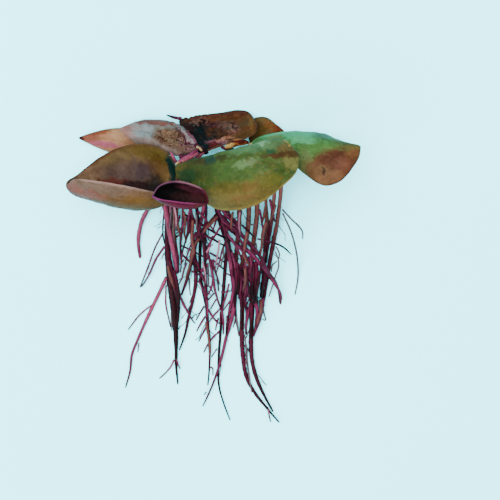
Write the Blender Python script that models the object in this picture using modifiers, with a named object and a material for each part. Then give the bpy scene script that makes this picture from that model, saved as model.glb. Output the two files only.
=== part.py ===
"""A red root floater, picked and laid on its back: a rosette of leaves round a short creeping stem, with a
beard of red roots that trails along the surface.

The top of the rosette faces +Y and the roots trail towards -Y. Every spot below is written in millimetres as
(across, up, height). Height is over the surface. Across and up are measured square to the line of sight of
someone who looks down at the plant from LOOK_DISTANCE and leans LOOK_LEAN over its top, so a spot lies on that
person's line of sight through (across, up), at its height.
"""

import math

import bmesh
import bpy
import numpy as np

MM = 0.001

# The line of sight that the spots are measured against
LOOK_LEAN = math.radians(18)
LOOK_DISTANCE = 260.0
LOOK_CENTRE = (6.5, 5.6)
STEM_HEIGHT = 9.0

# From the stem's line of sight to the middle of the plant's own box, along X and Y
BOX_MIDDLE = (0.0, -1.17)

LEAF_THICKNESS = 0.6
LEAF_STEPS_LONG = 12
LEAF_STEPS_WIDE = 5

STEM_RADIUS = 0.7
STALK_RADIUS = 0.35
BUD_RADIUS = 0.75

# Leaves. The midrib and both margins run from the base of the leaf to its tip, the near margin on the side of the
# viewer and the far one on the side of the surface. Bow is how far each half bulges between midrib and margin,
# out to the viewer where it is positive.
LEAVES = {
    "leaf_front_left": {
        "midrib": [(-6.9, 17.9, 9.4), (-8.7, 14.3, 10.2), (-12.4, 13.2, 10.4), (-17.5, 13.6, 10.3),
                   (-22.3, 14.8, 10.3), (-25.4, 15.9, 10.5), (-26.5, 17.2, 10.9)],
        "near": [(-6.9, 17.9, 9.4), (-8.6, 15.8, 12.0), (-11.5, 16.2, 14.8), (-16.9, 17.3, 16.4),
                 (-22.0, 18.1, 15.0), (-25.4, 18.2, 12.4), (-26.5, 17.2, 10.9)],
        "far": [(-6.9, 17.9, 9.4), (-6.8, 20.4, 8.6), (-8.2, 22.9, 7.8), (-11.0, 24.4, 7.2), (-14.4, 24.6, 6.8),
                (-17.6, 23.8, 6.6), (-21.5, 21.6, 7.2), (-25.0, 18.8, 9.0), (-26.2, 18.1, 10.2), (-26.5, 17.2, 10.9)],
        "bow": (1.5, -2.2),
    },
    "leaf_front_young": {
        "midrib": [(-1.0, 14.2, 16.3), (-4.0, 13.3, 16.1), (-7.5, 13.8, 16.3), (-11.1, 15.3, 17.7)],
        "near": [(-1.0, 14.2, 16.3), (-3.0, 14.0, 18.6), (-6.5, 14.3, 19.7), (-9.5, 14.7, 19.4), (-11.1, 15.3, 17.7)],
        "far": [(-1.0, 14.2, 16.3), (-1.4, 15.9, 16.1), (-4.1, 17.5, 15.9), (-7.0, 18.0, 15.8), (-9.8, 17.2, 16.2),
                (-11.1, 15.3, 17.7)],
        "bow": (0.5, -0.9),
    },
    "leaf_front_green": {
        "midrib": [(-6.2, 21.0, 10.2), (-2.0, 22.2, 12.0), (2.0, 23.2, 13.5), (7.0, 24.5, 14.3), (12.4, 25.4, 14.3),
                   (15.2, 22.8, 14.8)],
        "near": [(-6.2, 21.0, 10.2), (-6.1, 19.0, 10.2), (-4.1, 17.0, 10.6), (-2.6, 15.0, 11.4), (-0.4, 13.4, 13.2),
                 (4.0, 12.8, 16.8), (8.0, 13.9, 18.4), (12.0, 16.8, 17.6), (15.0, 20.2, 15.6), (15.2, 22.8, 14.8)],
        "far": [(-6.2, 21.0, 10.2), (-1.5, 21.6, 10.2), (4.0, 22.6, 10.4), (10.0, 23.6, 11.0), (15.2, 22.8, 14.8)],
        "bow": (1.7, 0.7),
    },
    "leaf_right": {
        "midrib": [(5.4, 23.4, 7.6), (9.0, 24.9, 8.2), (13.0, 25.6, 8.6), (18.0, 25.4, 9.2), (22.5, 24.9, 10.0),
                   (26.4, 24.2, 10.6)],
        "near": [(5.4, 23.4, 7.6), (10.5, 22.9, 8.8), (15.3, 20.2, 10.6), (17.5, 18.4, 12.2), (20.2, 17.2, 13.4),
                 (22.6, 17.9, 13.6), (24.8, 20.2, 12.8), (26.2, 22.6, 11.4), (26.4, 24.2, 10.6)],
        "far": [(5.4, 23.4, 7.6), (7.6, 25.5, 5.4), (12.0, 26.5, 3.2), (17.2, 26.5, 1.6), (20.2, 26.2, 2.6),
                (22.2, 25.0, 6.0), (26.4, 24.2, 10.6)],
        "bow": (1.3, 0.6),
    },
    "leaf_back_brown": {
        "midrib": [(-1.6, 24.1, 6.6), (0.8, 25.8, 4.6), (4.2, 27.4, 3.6), (7.8, 28.0, 3.2)],
        "near": [(-1.6, 24.1, 6.6), (2.4, 24.7, 6.0), (5.4, 25.5, 5.0), (7.4, 26.6, 4.2), (7.8, 28.0, 3.2)],
        "far": [(-1.6, 24.1, 6.6), (-4.6, 26.2, 3.4), (-6.2, 28.8, 0.8), (-4.0, 30.0, -1.4), (1.0, 30.7, -1.9),
                (4.4, 31.1, -1.5), (6.6, 30.1, 1.0), (7.8, 28.0, 3.2)],
        "bow": (-0.4, -0.4),
    },
    "leaf_back_orange": {
        "midrib": [(6.6, 24.2, 1.2), (8.2, 26.2, 0.8), (10.0, 27.6, 0.6), (11.6, 27.9, 0.5)],
        "near": [(6.6, 24.2, 1.2), (9.6, 24.6, 0.9), (12.0, 25.8, 0.6), (12.6, 26.9, 0.4), (11.6, 27.9, 0.5)],
        "far": [(6.6, 24.2, 1.2), (6.2, 26.8, 0.5), (6.8, 29.0, 0.3), (9.2, 29.5, 0.3), (11.6, 27.9, 0.5)],
        "bow": (0.3, 0.2),
    },
    "leaf_back_pink": {
        "midrib": [(-2.8, 23.6, 7.4), (-6.0, 25.1, 5.8), (-11.0, 26.6, 4.4), (-16.9, 27.3, 3.4)],
        "near": [(-2.8, 23.6, 7.4), (-6.6, 22.9, 6.4), (-9.6, 24.0, 5.6), (-13.0, 25.0, 4.8), (-15.6, 26.0, 4.0),
                 (-16.9, 27.3, 3.4)],
        "far": [(-2.8, 23.6, 7.4), (-3.8, 26.0, 5.0), (-6.6, 28.3, 2.8), (-10.0, 29.0, 1.8), (-13.6, 28.8, 2.0),
                (-16.9, 27.3, 3.4)],
        "bow": (0.7, 0.5),
    },
    "leaf_far_left": {
        "midrib": [(-10.4, 22.0, 2.4), (-14.5, 24.4, 1.5), (-19.5, 25.6, 0.9), (-24.3, 25.8, 0.8)],
        "near": [(-10.4, 22.0, 2.4), (-14.5, 21.9, 1.6), (-18.8, 23.2, 1.0), (-21.8, 24.4, 0.8), (-24.3, 25.8, 0.8)],
        "far": [(-10.4, 22.0, 2.4), (-11.4, 25.0, 1.4), (-14.8, 27.3, 0.7), (-18.6, 27.4, 0.5), (-21.8, 26.7, 0.5),
                (-24.3, 25.8, 0.8)],
        "bow": (0.4, 0.3),
    },
}

STEM_ROUTE = [(-5.9, 20.3, 8.4), (-2.0, 20.0, 8.3), (4.0, 19.6, 8.5), (9.0, 20.0, 8.3), (12.6, 20.2, 8.4)]

# The rolled leaf, and how thick it is along its length as a share of its radius
BUD_ROUTE = [(2.0, 24.0, 9.3), (4.0, 25.0, 9.2), (6.3, 25.0, 9.1)]
BUD_SWELL = (0.3, 0.8, 1.0, 1.0, 0.95, 0.75, 0.3)

# Leaf stalks, from the stem to the base of the leaf
STALKS = {
    "stalk_back_pink": [(-5.6, 21.5, 9.0), (-4.2, 22.3, 9.1), (-3.0, 23.0, 8.5)],
    "stalk_back_brown": [(-4.6, 21.4, 7.8), (-3.2, 22.0, 7.4), (-1.9, 23.3, 7.0)],
    "stalk_front_young": [(-5.2, 19.0, 8.9), (-5.2, 17.6, 9.3), (-5.6, 16.3, 11.4), (-5.7, 15.4, 14.1)],
    "stalk_far_left": [(-6.3, 20.0, 6.9), (-7.6, 20.8, 4.4), (-9.8, 21.7, 2.6)],
    "stalk_back_orange": [(5.2, 20.8, 7.4), (5.8, 22.4, 4.6), (6.2, 23.8, 2.2)],
    "stalk_right": [(4.9, 21.0, 8.4), (5.0, 22.0, 8.2), (5.2, 22.8, 7.9)],
}

# Roots, from the lowest laid to the topmost. Each has the height it sets out from, then its course as
# (across, up, radius) from there to its tip. It sinks to the surface, or lies over the roots laid before it.
ROOTS = {
    "root_left_main": (6.4, [(-7.0, 18.4, 0.36), (-8.0, 13.8, 0.42), (-8.4, 8.8, 0.44), (-8.2, 3.6, 0.48),
        (-7.8, -0.4, 0.55), (-7.3, -3.6, 0.62), (-7.0, -7.0, 0.48), (-6.8, -10.8, 0.34),
        (-6.8, -15.0, 0.20), (-6.5, -18.5, 0.10)]),
    "root_left_outer": (5.8, [(-7.8, 18.2, 0.26), (-10.0, 15.8, 0.32), (-12.0, 12.7, 0.33),
        (-13.1, 10.4, 0.32), (-13.6, 7.6, 0.28), (-13.3, 4.3, 0.20)]),
    "root_left_brown": (7.6, [(-4.3, 18.9, 0.28), (-6.6, 14.4, 0.34), (-7.2, 11.0, 0.34), (-7.2, 7.6, 0.26)]),
    "root_centre_dark": (7.8, [(-3.2, 18.8, 0.20), (-3.1, 12.8, 0.24), (-2.4, 9.0, 0.24), (-2.5, 5.4, 0.23),
        (-2.5, 1.8, 0.20), (-2.0, -1.8, 0.18), (-1.4, -4.8, 0.12)]),
    "root_centre_maroon": (7.8, [(-4.0, 18.8, 0.22), (-4.2, 12.8, 0.26), (-3.9, 7.8, 0.28),
        (-3.3, 2.4, 0.30), (-3.4, -1.6, 0.28), (-4.3, -5.2, 0.24), (-5.0, -8.8, 0.18),
        (-6.2, -12.4, 0.09)]),
    "root_centre_left": (7.8, [(-1.8, 18.7, 0.20), (-1.4, 12.8, 0.22), (-1.6, 8.6, 0.22), (-1.6, 2.2, 0.24),
        (-1.4, -2.2, 0.25), (-1.2, -6.6, 0.24), (-0.8, -11.4, 0.20), (-0.8, -15.0, 0.13),
        (-1.1, -18.7, 0.08)]),
    "root_centre_black": (7.8, [(0.2, 18.6, 0.28), (0.5, 12.8, 0.31), (1.5, 9.4, 0.31), (2.3, 7.0, 0.30),
        (2.1, 3.4, 0.27), (1.7, -1.6, 0.25), (1.4, -5.4, 0.23), (1.1, -10.4, 0.20), (0.8, -14.8, 0.16),
        (0.9, -18.8, 0.13), (1.9, -22.4, 0.10), (2.9, -25.0, 0.07)]),
    "root_right_brown": (7.8, [(4.3, 18.6, 0.34), (4.6, 12.6, 0.36), (4.4, 8.4, 0.36), (3.9, 3.2, 0.32),
        (4.1, -0.6, 0.28), (3.8, -4.4, 0.20), (4.5, -9.8, 0.10)]),
    "root_right_long": (7.8, [(7.4, 18.8, 0.32), (7.8, 13.2, 0.36), (7.4, 8.8, 0.36), (6.8, 4.4, 0.34),
        (6.9, -0.6, 0.34), (6.8, -6.8, 0.36), (6.7, -11.4, 0.36), (7.1, -15.6, 0.32), (8.5, -19.4, 0.24),
        (10.6, -23.4, 0.12)]),
    "root_right_dark": (7.8, [(9.2, 19.0, 0.20), (9.4, 13.4, 0.24), (9.6, 9.2, 0.40), (9.2, 4.8, 0.34),
        (8.9, 0.8, 0.26), (8.7, -3.4, 0.14)]),
    "root_far_right": (7.8, [(12.3, 19.0, 0.28), (11.8, 13.6, 0.30), (11.2, 9.4, 0.32), (10.3, 4.8, 0.32),
        (9.6, 0.6, 0.26), (9.0, -3.6, 0.18), (8.5, -6.2, 0.10)]),
    "root_far_right_twin": (7.8, [(11.2, 19.1, 0.26), (10.7, 13.6, 0.28), (10.3, 10.2, 0.28),
        (9.8, 7.0, 0.22), (9.4, 3.4, 0.14)]),
    "root_centre_thick": (7.8, [(2.0, 18.6, 0.28), (2.0, 12.8, 0.30), (2.3, 8.2, 0.34), (3.0, 3.8, 0.42),
        (3.5, 0.0, 0.42), (3.6, -4.6, 0.34), (2.9, -8.0, 0.27), (1.9, -11.2, 0.24), (1.2, -14.6, 0.20),
        (0.2, -17.4, 0.16), (-0.9, -20.2, 0.12), (-2.0, -22.5, 0.08)]),
    "root_right_brown_long": (7.8, [(6.0, 18.7, 0.34), (6.3, 12.8, 0.36), (6.0, 8.4, 0.36),
        (5.2, 4.2, 0.32), (5.0, -0.8, 0.34), (5.1, -5.0, 0.36), (5.0, -10.4, 0.36), (5.3, -14.2, 0.34),
        (6.3, -18.4, 0.28), (8.7, -21.8, 0.20), (11.7, -25.4, 0.10)]),
    "root_left_pink": (6.8, [(-6.1, 18.8, 0.38), (-7.7, 13.6, 0.46), (-7.9, 9.4, 0.50), (-7.3, 6.6, 0.54),
        (-6.8, 4.0, 0.52), (-6.6, 1.6, 0.34)]),
    "root_left_thin": (8.0, [(-5.0, 18.9, 0.15), (-5.6, 12.8, 0.17), (-5.7, 8.8, 0.17), (-6.1, 5.8, 0.15),
        (-5.9, 3.9, 0.10)]),
    "root_centre_slant": (8.2, [(-2.6, 18.8, 0.15), (-4.0, 12.2, 0.17), (-2.7, 9.2, 0.17),
        (-1.0, 5.0, 0.17), (-0.3, 1.4, 0.17), (0.1, -1.2, 0.16), (0.9, -4.0, 0.14), (1.4, -5.4, 0.09)]),
    "root_brown_slant": (8.2, [(-1.0, 18.7, 0.22), (-2.0, 12.4, 0.26), (-3.2, 7.0, 0.27), (-4.0, 3.6, 0.26),
        (-4.7, 0.8, 0.24), (-5.8, -2.4, 0.14)]),
    "root_slant_purple": (8.2, [(1.1, 18.6, 0.22), (0.9, 12.4, 0.25), (3.1, 10.0, 0.26), (5.4, 7.8, 0.26),
        (7.7, 5.4, 0.25), (9.2, 2.6, 0.22), (10.6, 0.6, 0.20), (11.9, -2.4, 0.14), (11.9, -4.0, 0.09)]),
    "root_slant_black": (8.4, [(-5.6, 12.2, 0.12), (-3.6, 10.9, 0.14), (-1.0, 9.7, 0.14), (1.4, 7.8, 0.14),
        (4.2, 6.8, 0.13), (6.4, 5.4, 0.09)]),
    "root_slant_low": (4.2, [(-5.8, 6.4, 0.11), (-4.0, 5.5, 0.12), (-1.7, 4.3, 0.12), (0.6, 3.2, 0.11),
        (2.2, 1.6, 0.08)]),
    "root_purple_left": (5.4, [(-4.2, 13.4, 0.12), (-4.5, 12.0, 0.14), (-4.8, 8.4, 0.14), (-5.6, 5.4, 0.12),
        (-6.0, 1.6, 0.08)]),
    "root_purple_centre": (7.0, [(-2.2, 9.4, 0.10), (-1.2, 5.0, 0.12), (0.4, 1.4, 0.12), (0.9, -1.8, 0.08)]),
    "root_right_pink": (2.6, [(4.9, -0.8, 0.20), (6.6, -2.8, 0.26), (7.7, -4.8, 0.26), (7.6, -7.4, 0.20),
        (7.3, -9.4, 0.12)]),
    "root_right_light": (6.0, [(4.9, 7.0, 0.12), (5.6, 4.4, 0.15), (6.5, 2.2, 0.14), (7.8, -2.0, 0.09)]),
    "root_left_side_upper": (4.6, [(-9.2, 8.6, 0.12), (-10.4, 6.4, 0.13), (-11.9, 2.4, 0.12),
        (-13.3, -1.1, 0.07)]),
    "root_left_side_lower": (4.2, [(-8.9, 6.2, 0.16), (-10.4, 4.0, 0.17), (-11.7, 1.1, 0.14),
        (-13.0, -1.0, 0.08)]),
    "root_left_long": (1.2, [(-8.6, 0.6, 0.26), (-9.8, -2.0, 0.27), (-12.0, -6.6, 0.24),
        (-13.4, -9.8, 0.21), (-14.9, -13.8, 0.18), (-15.2, -16.9, 0.14), (-15.9, -19.1, 0.08)]),
    "root_left_long_side": (0.8, [(-11.3, -4.4, 0.10), (-13.2, -5.9, 0.12), (-15.4, -8.7, 0.07)]),
    "root_left_fork": (0.5, [(-7.2, -14.2, 0.12), (-7.9, -15.6, 0.12), (-9.8, -17.5, 0.07)]),
    "root_left_twig": (1.2, [(-6.5, -0.8, 0.13), (-5.6, -4.0, 0.14), (-3.6, -7.4, 0.08)]),
    "root_left_purple": (1.2, [(-8.6, -0.8, 0.10), (-8.7, -3.6, 0.12), (-7.8, -8.2, 0.08)]),
    "root_right_fork": (0.6, [(9.8, -23.0, 0.12), (9.9, -24.0, 0.11), (10.2, -25.3, 0.07)]),
    "root_right_curl": (7.0, [(12.3, 12.9, 0.10), (14.2, 10.9, 0.11), (15.9, 9.0, 0.11), (16.0, 7.6, 0.08)]),
    "root_right_curl_long": (7.0, [(12.4, 12.2, 0.11), (13.9, 8.8, 0.12), (15.0, 4.2, 0.12),
        (15.1, 0.4, 0.11), (14.6, -2.4, 0.07)]),
    "root_right_sprig": (5.4, [(7.9, 7.6, 0.12), (10.2, 7.0, 0.13), (12.4, 6.2, 0.12), (13.9, 4.8, 0.07)]),
    "root_right_side": (4.2, [(11.1, 5.2, 0.10), (11.7, 3.4, 0.11), (11.0, 0.6, 0.10), (9.9, -2.8, 0.07)]),
}

# How roots lie: the gap between two that cross, how steeply one climbs over another, how far it takes to sink to
# the surface for each millimetre of the height it sets out from, and the length of its straight pieces
ROOT_GAP = 0.25
ROOT_CLIMB = 0.35
ROOT_SINK = 1.8
ROOT_PIECE = 3.2
ROOT_SHORT_PIECE = 1.4
ROOT_TRY = 0.2

COLOURS = {
    "leaf_front_left": (0.20, 0.15, 0.05),
    "leaf_front_young": (0.06, 0.01, 0.04),
    "leaf_front_green": (0.19, 0.27, 0.11),
    "leaf_right": (0.24, 0.22, 0.12),
    "leaf_back_brown": (0.17, 0.07, 0.03),
    "leaf_back_orange": (0.35, 0.17, 0.06),
    "leaf_back_pink": (0.36, 0.24, 0.20),
    "leaf_far_left": (0.45, 0.24, 0.17),
    "leaf_rolled": (0.22, 0.09, 0.05),
    "stem": (0.30, 0.10, 0.12),
}
STALK_COLOUR = (0.42, 0.14, 0.18)
ROOT_COLOUR = (0.16, 0.03, 0.06)


def on_sight_line(spots):
    """The places in metres of spots (across, up, height), one a row."""
    across, up, height = np.asarray(spots, float)[:, :3].T
    lean = np.array([0.0, math.cos(LOOK_LEAN), -math.sin(LOOK_LEAN)])
    to_eye = np.array([0.0, math.sin(LOOK_LEAN), math.cos(LOOK_LEAN)])
    stem = np.array([0.0, 0.0, STEM_HEIGHT])
    eye = stem + np.array([LOOK_CENTRE[0], 0.0, 0.0]) + LOOK_CENTRE[1] * lean + LOOK_DISTANCE * to_eye
    drawn = stem + np.outer(across, [1.0, 0.0, 0.0]) + np.outer(up, lean)
    share = (eye[2] - height) / (eye[2] - drawn[:, 2])
    places = eye + share[:, None] * (drawn - eye)
    places[:, 0] -= BOX_MIDDLE[0]
    places[:, 1] -= BOX_MIDDLE[1]
    return places * MM


def smooth_line(points, count):
    """A smooth line through all the points, as count points at even distances."""
    points = np.asarray(points, float)
    steps = np.linalg.norm(np.diff(points, axis=0), axis=1)
    at = np.concatenate([[0.0], np.cumsum(steps)])
    slopes = np.gradient(points, at, axis=0)
    dense = []
    for i in range(len(steps)):
        t = np.linspace(0.0, 1.0, 17)[:, None]
        start, end = points[i], points[i + 1]
        pull_start, pull_end = slopes[i] * steps[i], slopes[i + 1] * steps[i]
        piece = (
            (2 * t**3 - 3 * t**2 + 1) * start
            + (t**3 - 2 * t**2 + t) * pull_start
            + (3 * t**2 - 2 * t**3) * end
            + (t**3 - t**2) * pull_end
        )
        dense.append(piece if i == 0 else piece[1:])
    dense = np.concatenate(dense)
    run = np.concatenate([[0.0], np.cumsum(np.linalg.norm(np.diff(dense, axis=0), axis=1))])
    wanted = np.linspace(0.0, run[-1], count)
    return np.stack([np.interp(wanted, run, column) for column in dense.T], axis=1)


def make_material(name, colour):
    material = bpy.data.materials.new(name)
    material.use_nodes = True
    shader = material.node_tree.nodes["Principled BSDF"]
    shader.inputs["Base Color"].default_value = (*colour, 1.0)
    shader.inputs["Roughness"].default_value = 0.5
    return material


def add_leaf(collection, name, leaf):
    """A leaf: two halves spanned between midrib and margins, pressed flat where they reach the surface."""
    midrib = on_sight_line(smooth_line(leaf["midrib"], LEAF_STEPS_LONG + 1)) / MM
    to_eye = np.array([0.0, math.sin(LOOK_LEAN), math.cos(LOOK_LEAN)])
    along = np.gradient(midrib, axis=0)
    halves = []
    for side, bow in zip(("near", "far"), leaf["bow"]):
        margin = on_sight_line(smooth_line(leaf[side], LEAF_STEPS_LONG + 1)) / MM
        width = margin - midrib
        out = np.cross(along, width)
        out *= np.where(out @ to_eye < 0, -1.0, 1.0)[:, None]
        length = np.linalg.norm(out, axis=1)[:, None]
        out = np.divide(out, length, out=np.zeros_like(out), where=length > 1e-6)
        swell = np.sin(np.linspace(0.0, math.pi, len(midrib)))[:, None]
        rows = []
        for step in range(1, LEAF_STEPS_WIDE + 1):
            share = step / LEAF_STEPS_WIDE
            rows.append(midrib + share * width + bow * 4 * share * (1 - share) * swell * out)
        halves.append(rows)
    rows = halves[0][::-1] + [midrib] + halves[1]
    for row in rows:
        row[:, 2] = np.maximum(row[:, 2], LEAF_THICKNESS / 2)

    sheet = bmesh.new()
    grid = [[sheet.verts.new(place * MM) for place in row] for row in rows]
    for lower, upper in zip(grid, grid[1:]):
        for i in range(LEAF_STEPS_LONG):
            sheet.faces.new((lower[i], lower[i + 1], upper[i + 1], upper[i]))
    ends = [row[i] for row in grid for i in (0, LEAF_STEPS_LONG)]
    bmesh.ops.remove_doubles(sheet, verts=ends, dist=0.00001)
    mesh = bpy.data.meshes.new(name)
    sheet.to_mesh(mesh)
    sheet.free()
    mesh.materials.append(make_material(name, COLOURS[name]))
    blade = bpy.data.objects.new(name, mesh)
    collection.objects.link(blade)
    thickness = blade.modifiers.new("Thickness", "SOLIDIFY")
    thickness.thickness = LEAF_THICKNESS * MM
    thickness.offset = 0.0


def add_tube(collection, name, spots, radii, colour):
    """A round tube along the spots, closed at both ends."""
    curve = bpy.data.curves.new(name, "CURVE")
    curve.dimensions = "3D"
    curve.resolution_u = 1
    curve.bevel_depth = MM
    curve.bevel_resolution = 1
    curve.use_fill_caps = True
    line = curve.splines.new("POLY")
    line.points.add(len(spots) - 1)
    for point, place, radius in zip(line.points, on_sight_line(spots), radii):
        point.co = (*place, 1.0)
        point.radius = radius
    curve.materials.append(make_material(name, colour))
    collection.objects.link(bpy.data.objects.new(name, curve))


def lay_roots():
    """Each root's spots and radii, with its height over the surface and over the roots laid before it."""
    lean = math.tan(LOOK_LEAN)
    laid = []
    courses = {}
    for name, (start_height, route) in ROOTS.items():
        route = np.asarray(route, float)
        length = np.linalg.norm(np.diff(route[:, :2], axis=0), axis=1).sum()
        piece = ROOT_PIECE if length > 12 else ROOT_SHORT_PIECE
        corners = smooth_line(route, max(4, round(length / piece) + 1))
        tries = max(2, round(length / ROOT_TRY))
        at_corner = np.linspace(0.0, length, len(corners))
        at = np.linspace(0.0, length, tries)
        line = np.stack([np.interp(at, at_corner, column) for column in corners.T], axis=1)
        radius = line[:, 2]

        sunk = np.clip(at / (ROOT_SINK * start_height), 0.0, 1.0)
        bare = radius + (start_height - radius) * (1 - sunk**2 * (3 - 2 * sunk))
        rise = np.zeros(tries)
        for other, other_near, other_radius in laid:
            apart = np.linalg.norm(line[:, None, :2] - other[None], axis=2)
            reach = radius[:, None] + other_radius[None] + ROOT_GAP
            over = other_near[None] + np.sqrt(np.clip(reach**2 - apart**2, 0.0, None))
            over = np.where(apart < reach, over, -100.0).max(axis=1)
            rise = np.maximum(rise, (over - lean * line[:, 1]) * math.cos(LOOK_LEAN) - bare)
        rise = (rise[None] - ROOT_CLIMB * np.abs(at[:, None] - at[None])).max(axis=1)

        beside = np.abs(at_corner[:, None] - at[None]) < at_corner[1] * 1.001
        corner_rise = np.where(beside, rise[None], 0.0).max(axis=1)
        corner_height = np.interp(at_corner, at, bare) + corner_rise
        height = np.interp(at, at_corner, corner_height)
        laid.append((line[:, :2], height / math.cos(LOOK_LEAN) + lean * line[:, 1], radius))
        courses[name] = np.column_stack([corners[:, :2], corner_height, corners[:, 2]])
    return courses


def main():
    for old in list(bpy.data.objects):
        bpy.data.objects.remove(old, do_unlink=True)
    plant = bpy.data.collections.new("red_root_floater")
    bpy.context.scene.collection.children.link(plant)

    for name, leaf in LEAVES.items():
        add_leaf(plant, name, leaf)
    bud = smooth_line(BUD_ROUTE, len(BUD_SWELL))
    add_tube(plant, "leaf_rolled", bud, [BUD_RADIUS * swell for swell in BUD_SWELL], COLOURS["leaf_rolled"])
    add_tube(plant, "stem", smooth_line(STEM_ROUTE, 13), [STEM_RADIUS] * 13, COLOURS["stem"])
    for name, route in STALKS.items():
        add_tube(plant, name, smooth_line(route, 5), [STALK_RADIUS] * 5, STALK_COLOUR)
    for name, course in lay_roots().items():
        add_tube(plant, name, course[:, :3], course[:, 3], ROOT_COLOUR)


main()
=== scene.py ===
"""A red root floater laid on its back: cupped leaves round a short stem and a beard of fine red roots."""

import math

import bmesh
import bpy
import numpy as np
from bpy.props import (
    FloatProperty,
    FloatVectorProperty,
    IntProperty,
    PointerProperty,
)
from mathutils import Matrix, Vector, noise


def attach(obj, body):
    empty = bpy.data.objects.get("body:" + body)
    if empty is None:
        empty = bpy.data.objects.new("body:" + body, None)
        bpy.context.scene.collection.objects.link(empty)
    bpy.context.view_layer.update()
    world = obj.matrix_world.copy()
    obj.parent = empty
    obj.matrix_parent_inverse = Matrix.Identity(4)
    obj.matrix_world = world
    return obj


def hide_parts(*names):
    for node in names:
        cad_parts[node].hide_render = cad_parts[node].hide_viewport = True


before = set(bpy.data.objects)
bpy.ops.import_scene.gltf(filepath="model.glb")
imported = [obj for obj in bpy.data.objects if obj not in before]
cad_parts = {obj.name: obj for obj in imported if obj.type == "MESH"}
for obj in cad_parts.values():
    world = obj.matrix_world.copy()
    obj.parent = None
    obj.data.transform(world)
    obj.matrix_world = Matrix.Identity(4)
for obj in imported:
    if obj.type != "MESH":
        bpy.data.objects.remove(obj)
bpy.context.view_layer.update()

bl_info = {
    "name": "Red Root Floater",
    "version": (1, 0, 0),
    "blender": (4, 5, 0),
    "location": "3D View > Sidebar > Floater",
    "description": "Builds a floating water plant with cupped leaves and a beard of red roots",
    "category": "Add Mesh",
}

MM = 0.001

# The line of sight that every spot is measured against. A spot is (across, up, height) in millimetres.
LOOK_LEAN = math.radians(18)
LOOK_DISTANCE = 260.0
LOOK_CENTRE = (6.5, 5.6)
STEM_HEIGHT = 9.0
BOX_MIDDLE = (0.0, -1.17)
TO_EYE = np.array([0.0, math.sin(LOOK_LEAN), math.cos(LOOK_LEAN)])
DRAWN_UP = np.array([0.0, math.cos(LOOK_LEAN), -math.sin(LOOK_LEAN)])
EYE = np.array([LOOK_CENTRE[0], 0.0, STEM_HEIGHT]) + LOOK_CENTRE[1] * DRAWN_UP + LOOK_DISTANCE * TO_EYE
HALF_VIEW = 45.0
ROSETTE_TOP = np.array([0.0, 1.0, 0.5])

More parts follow.
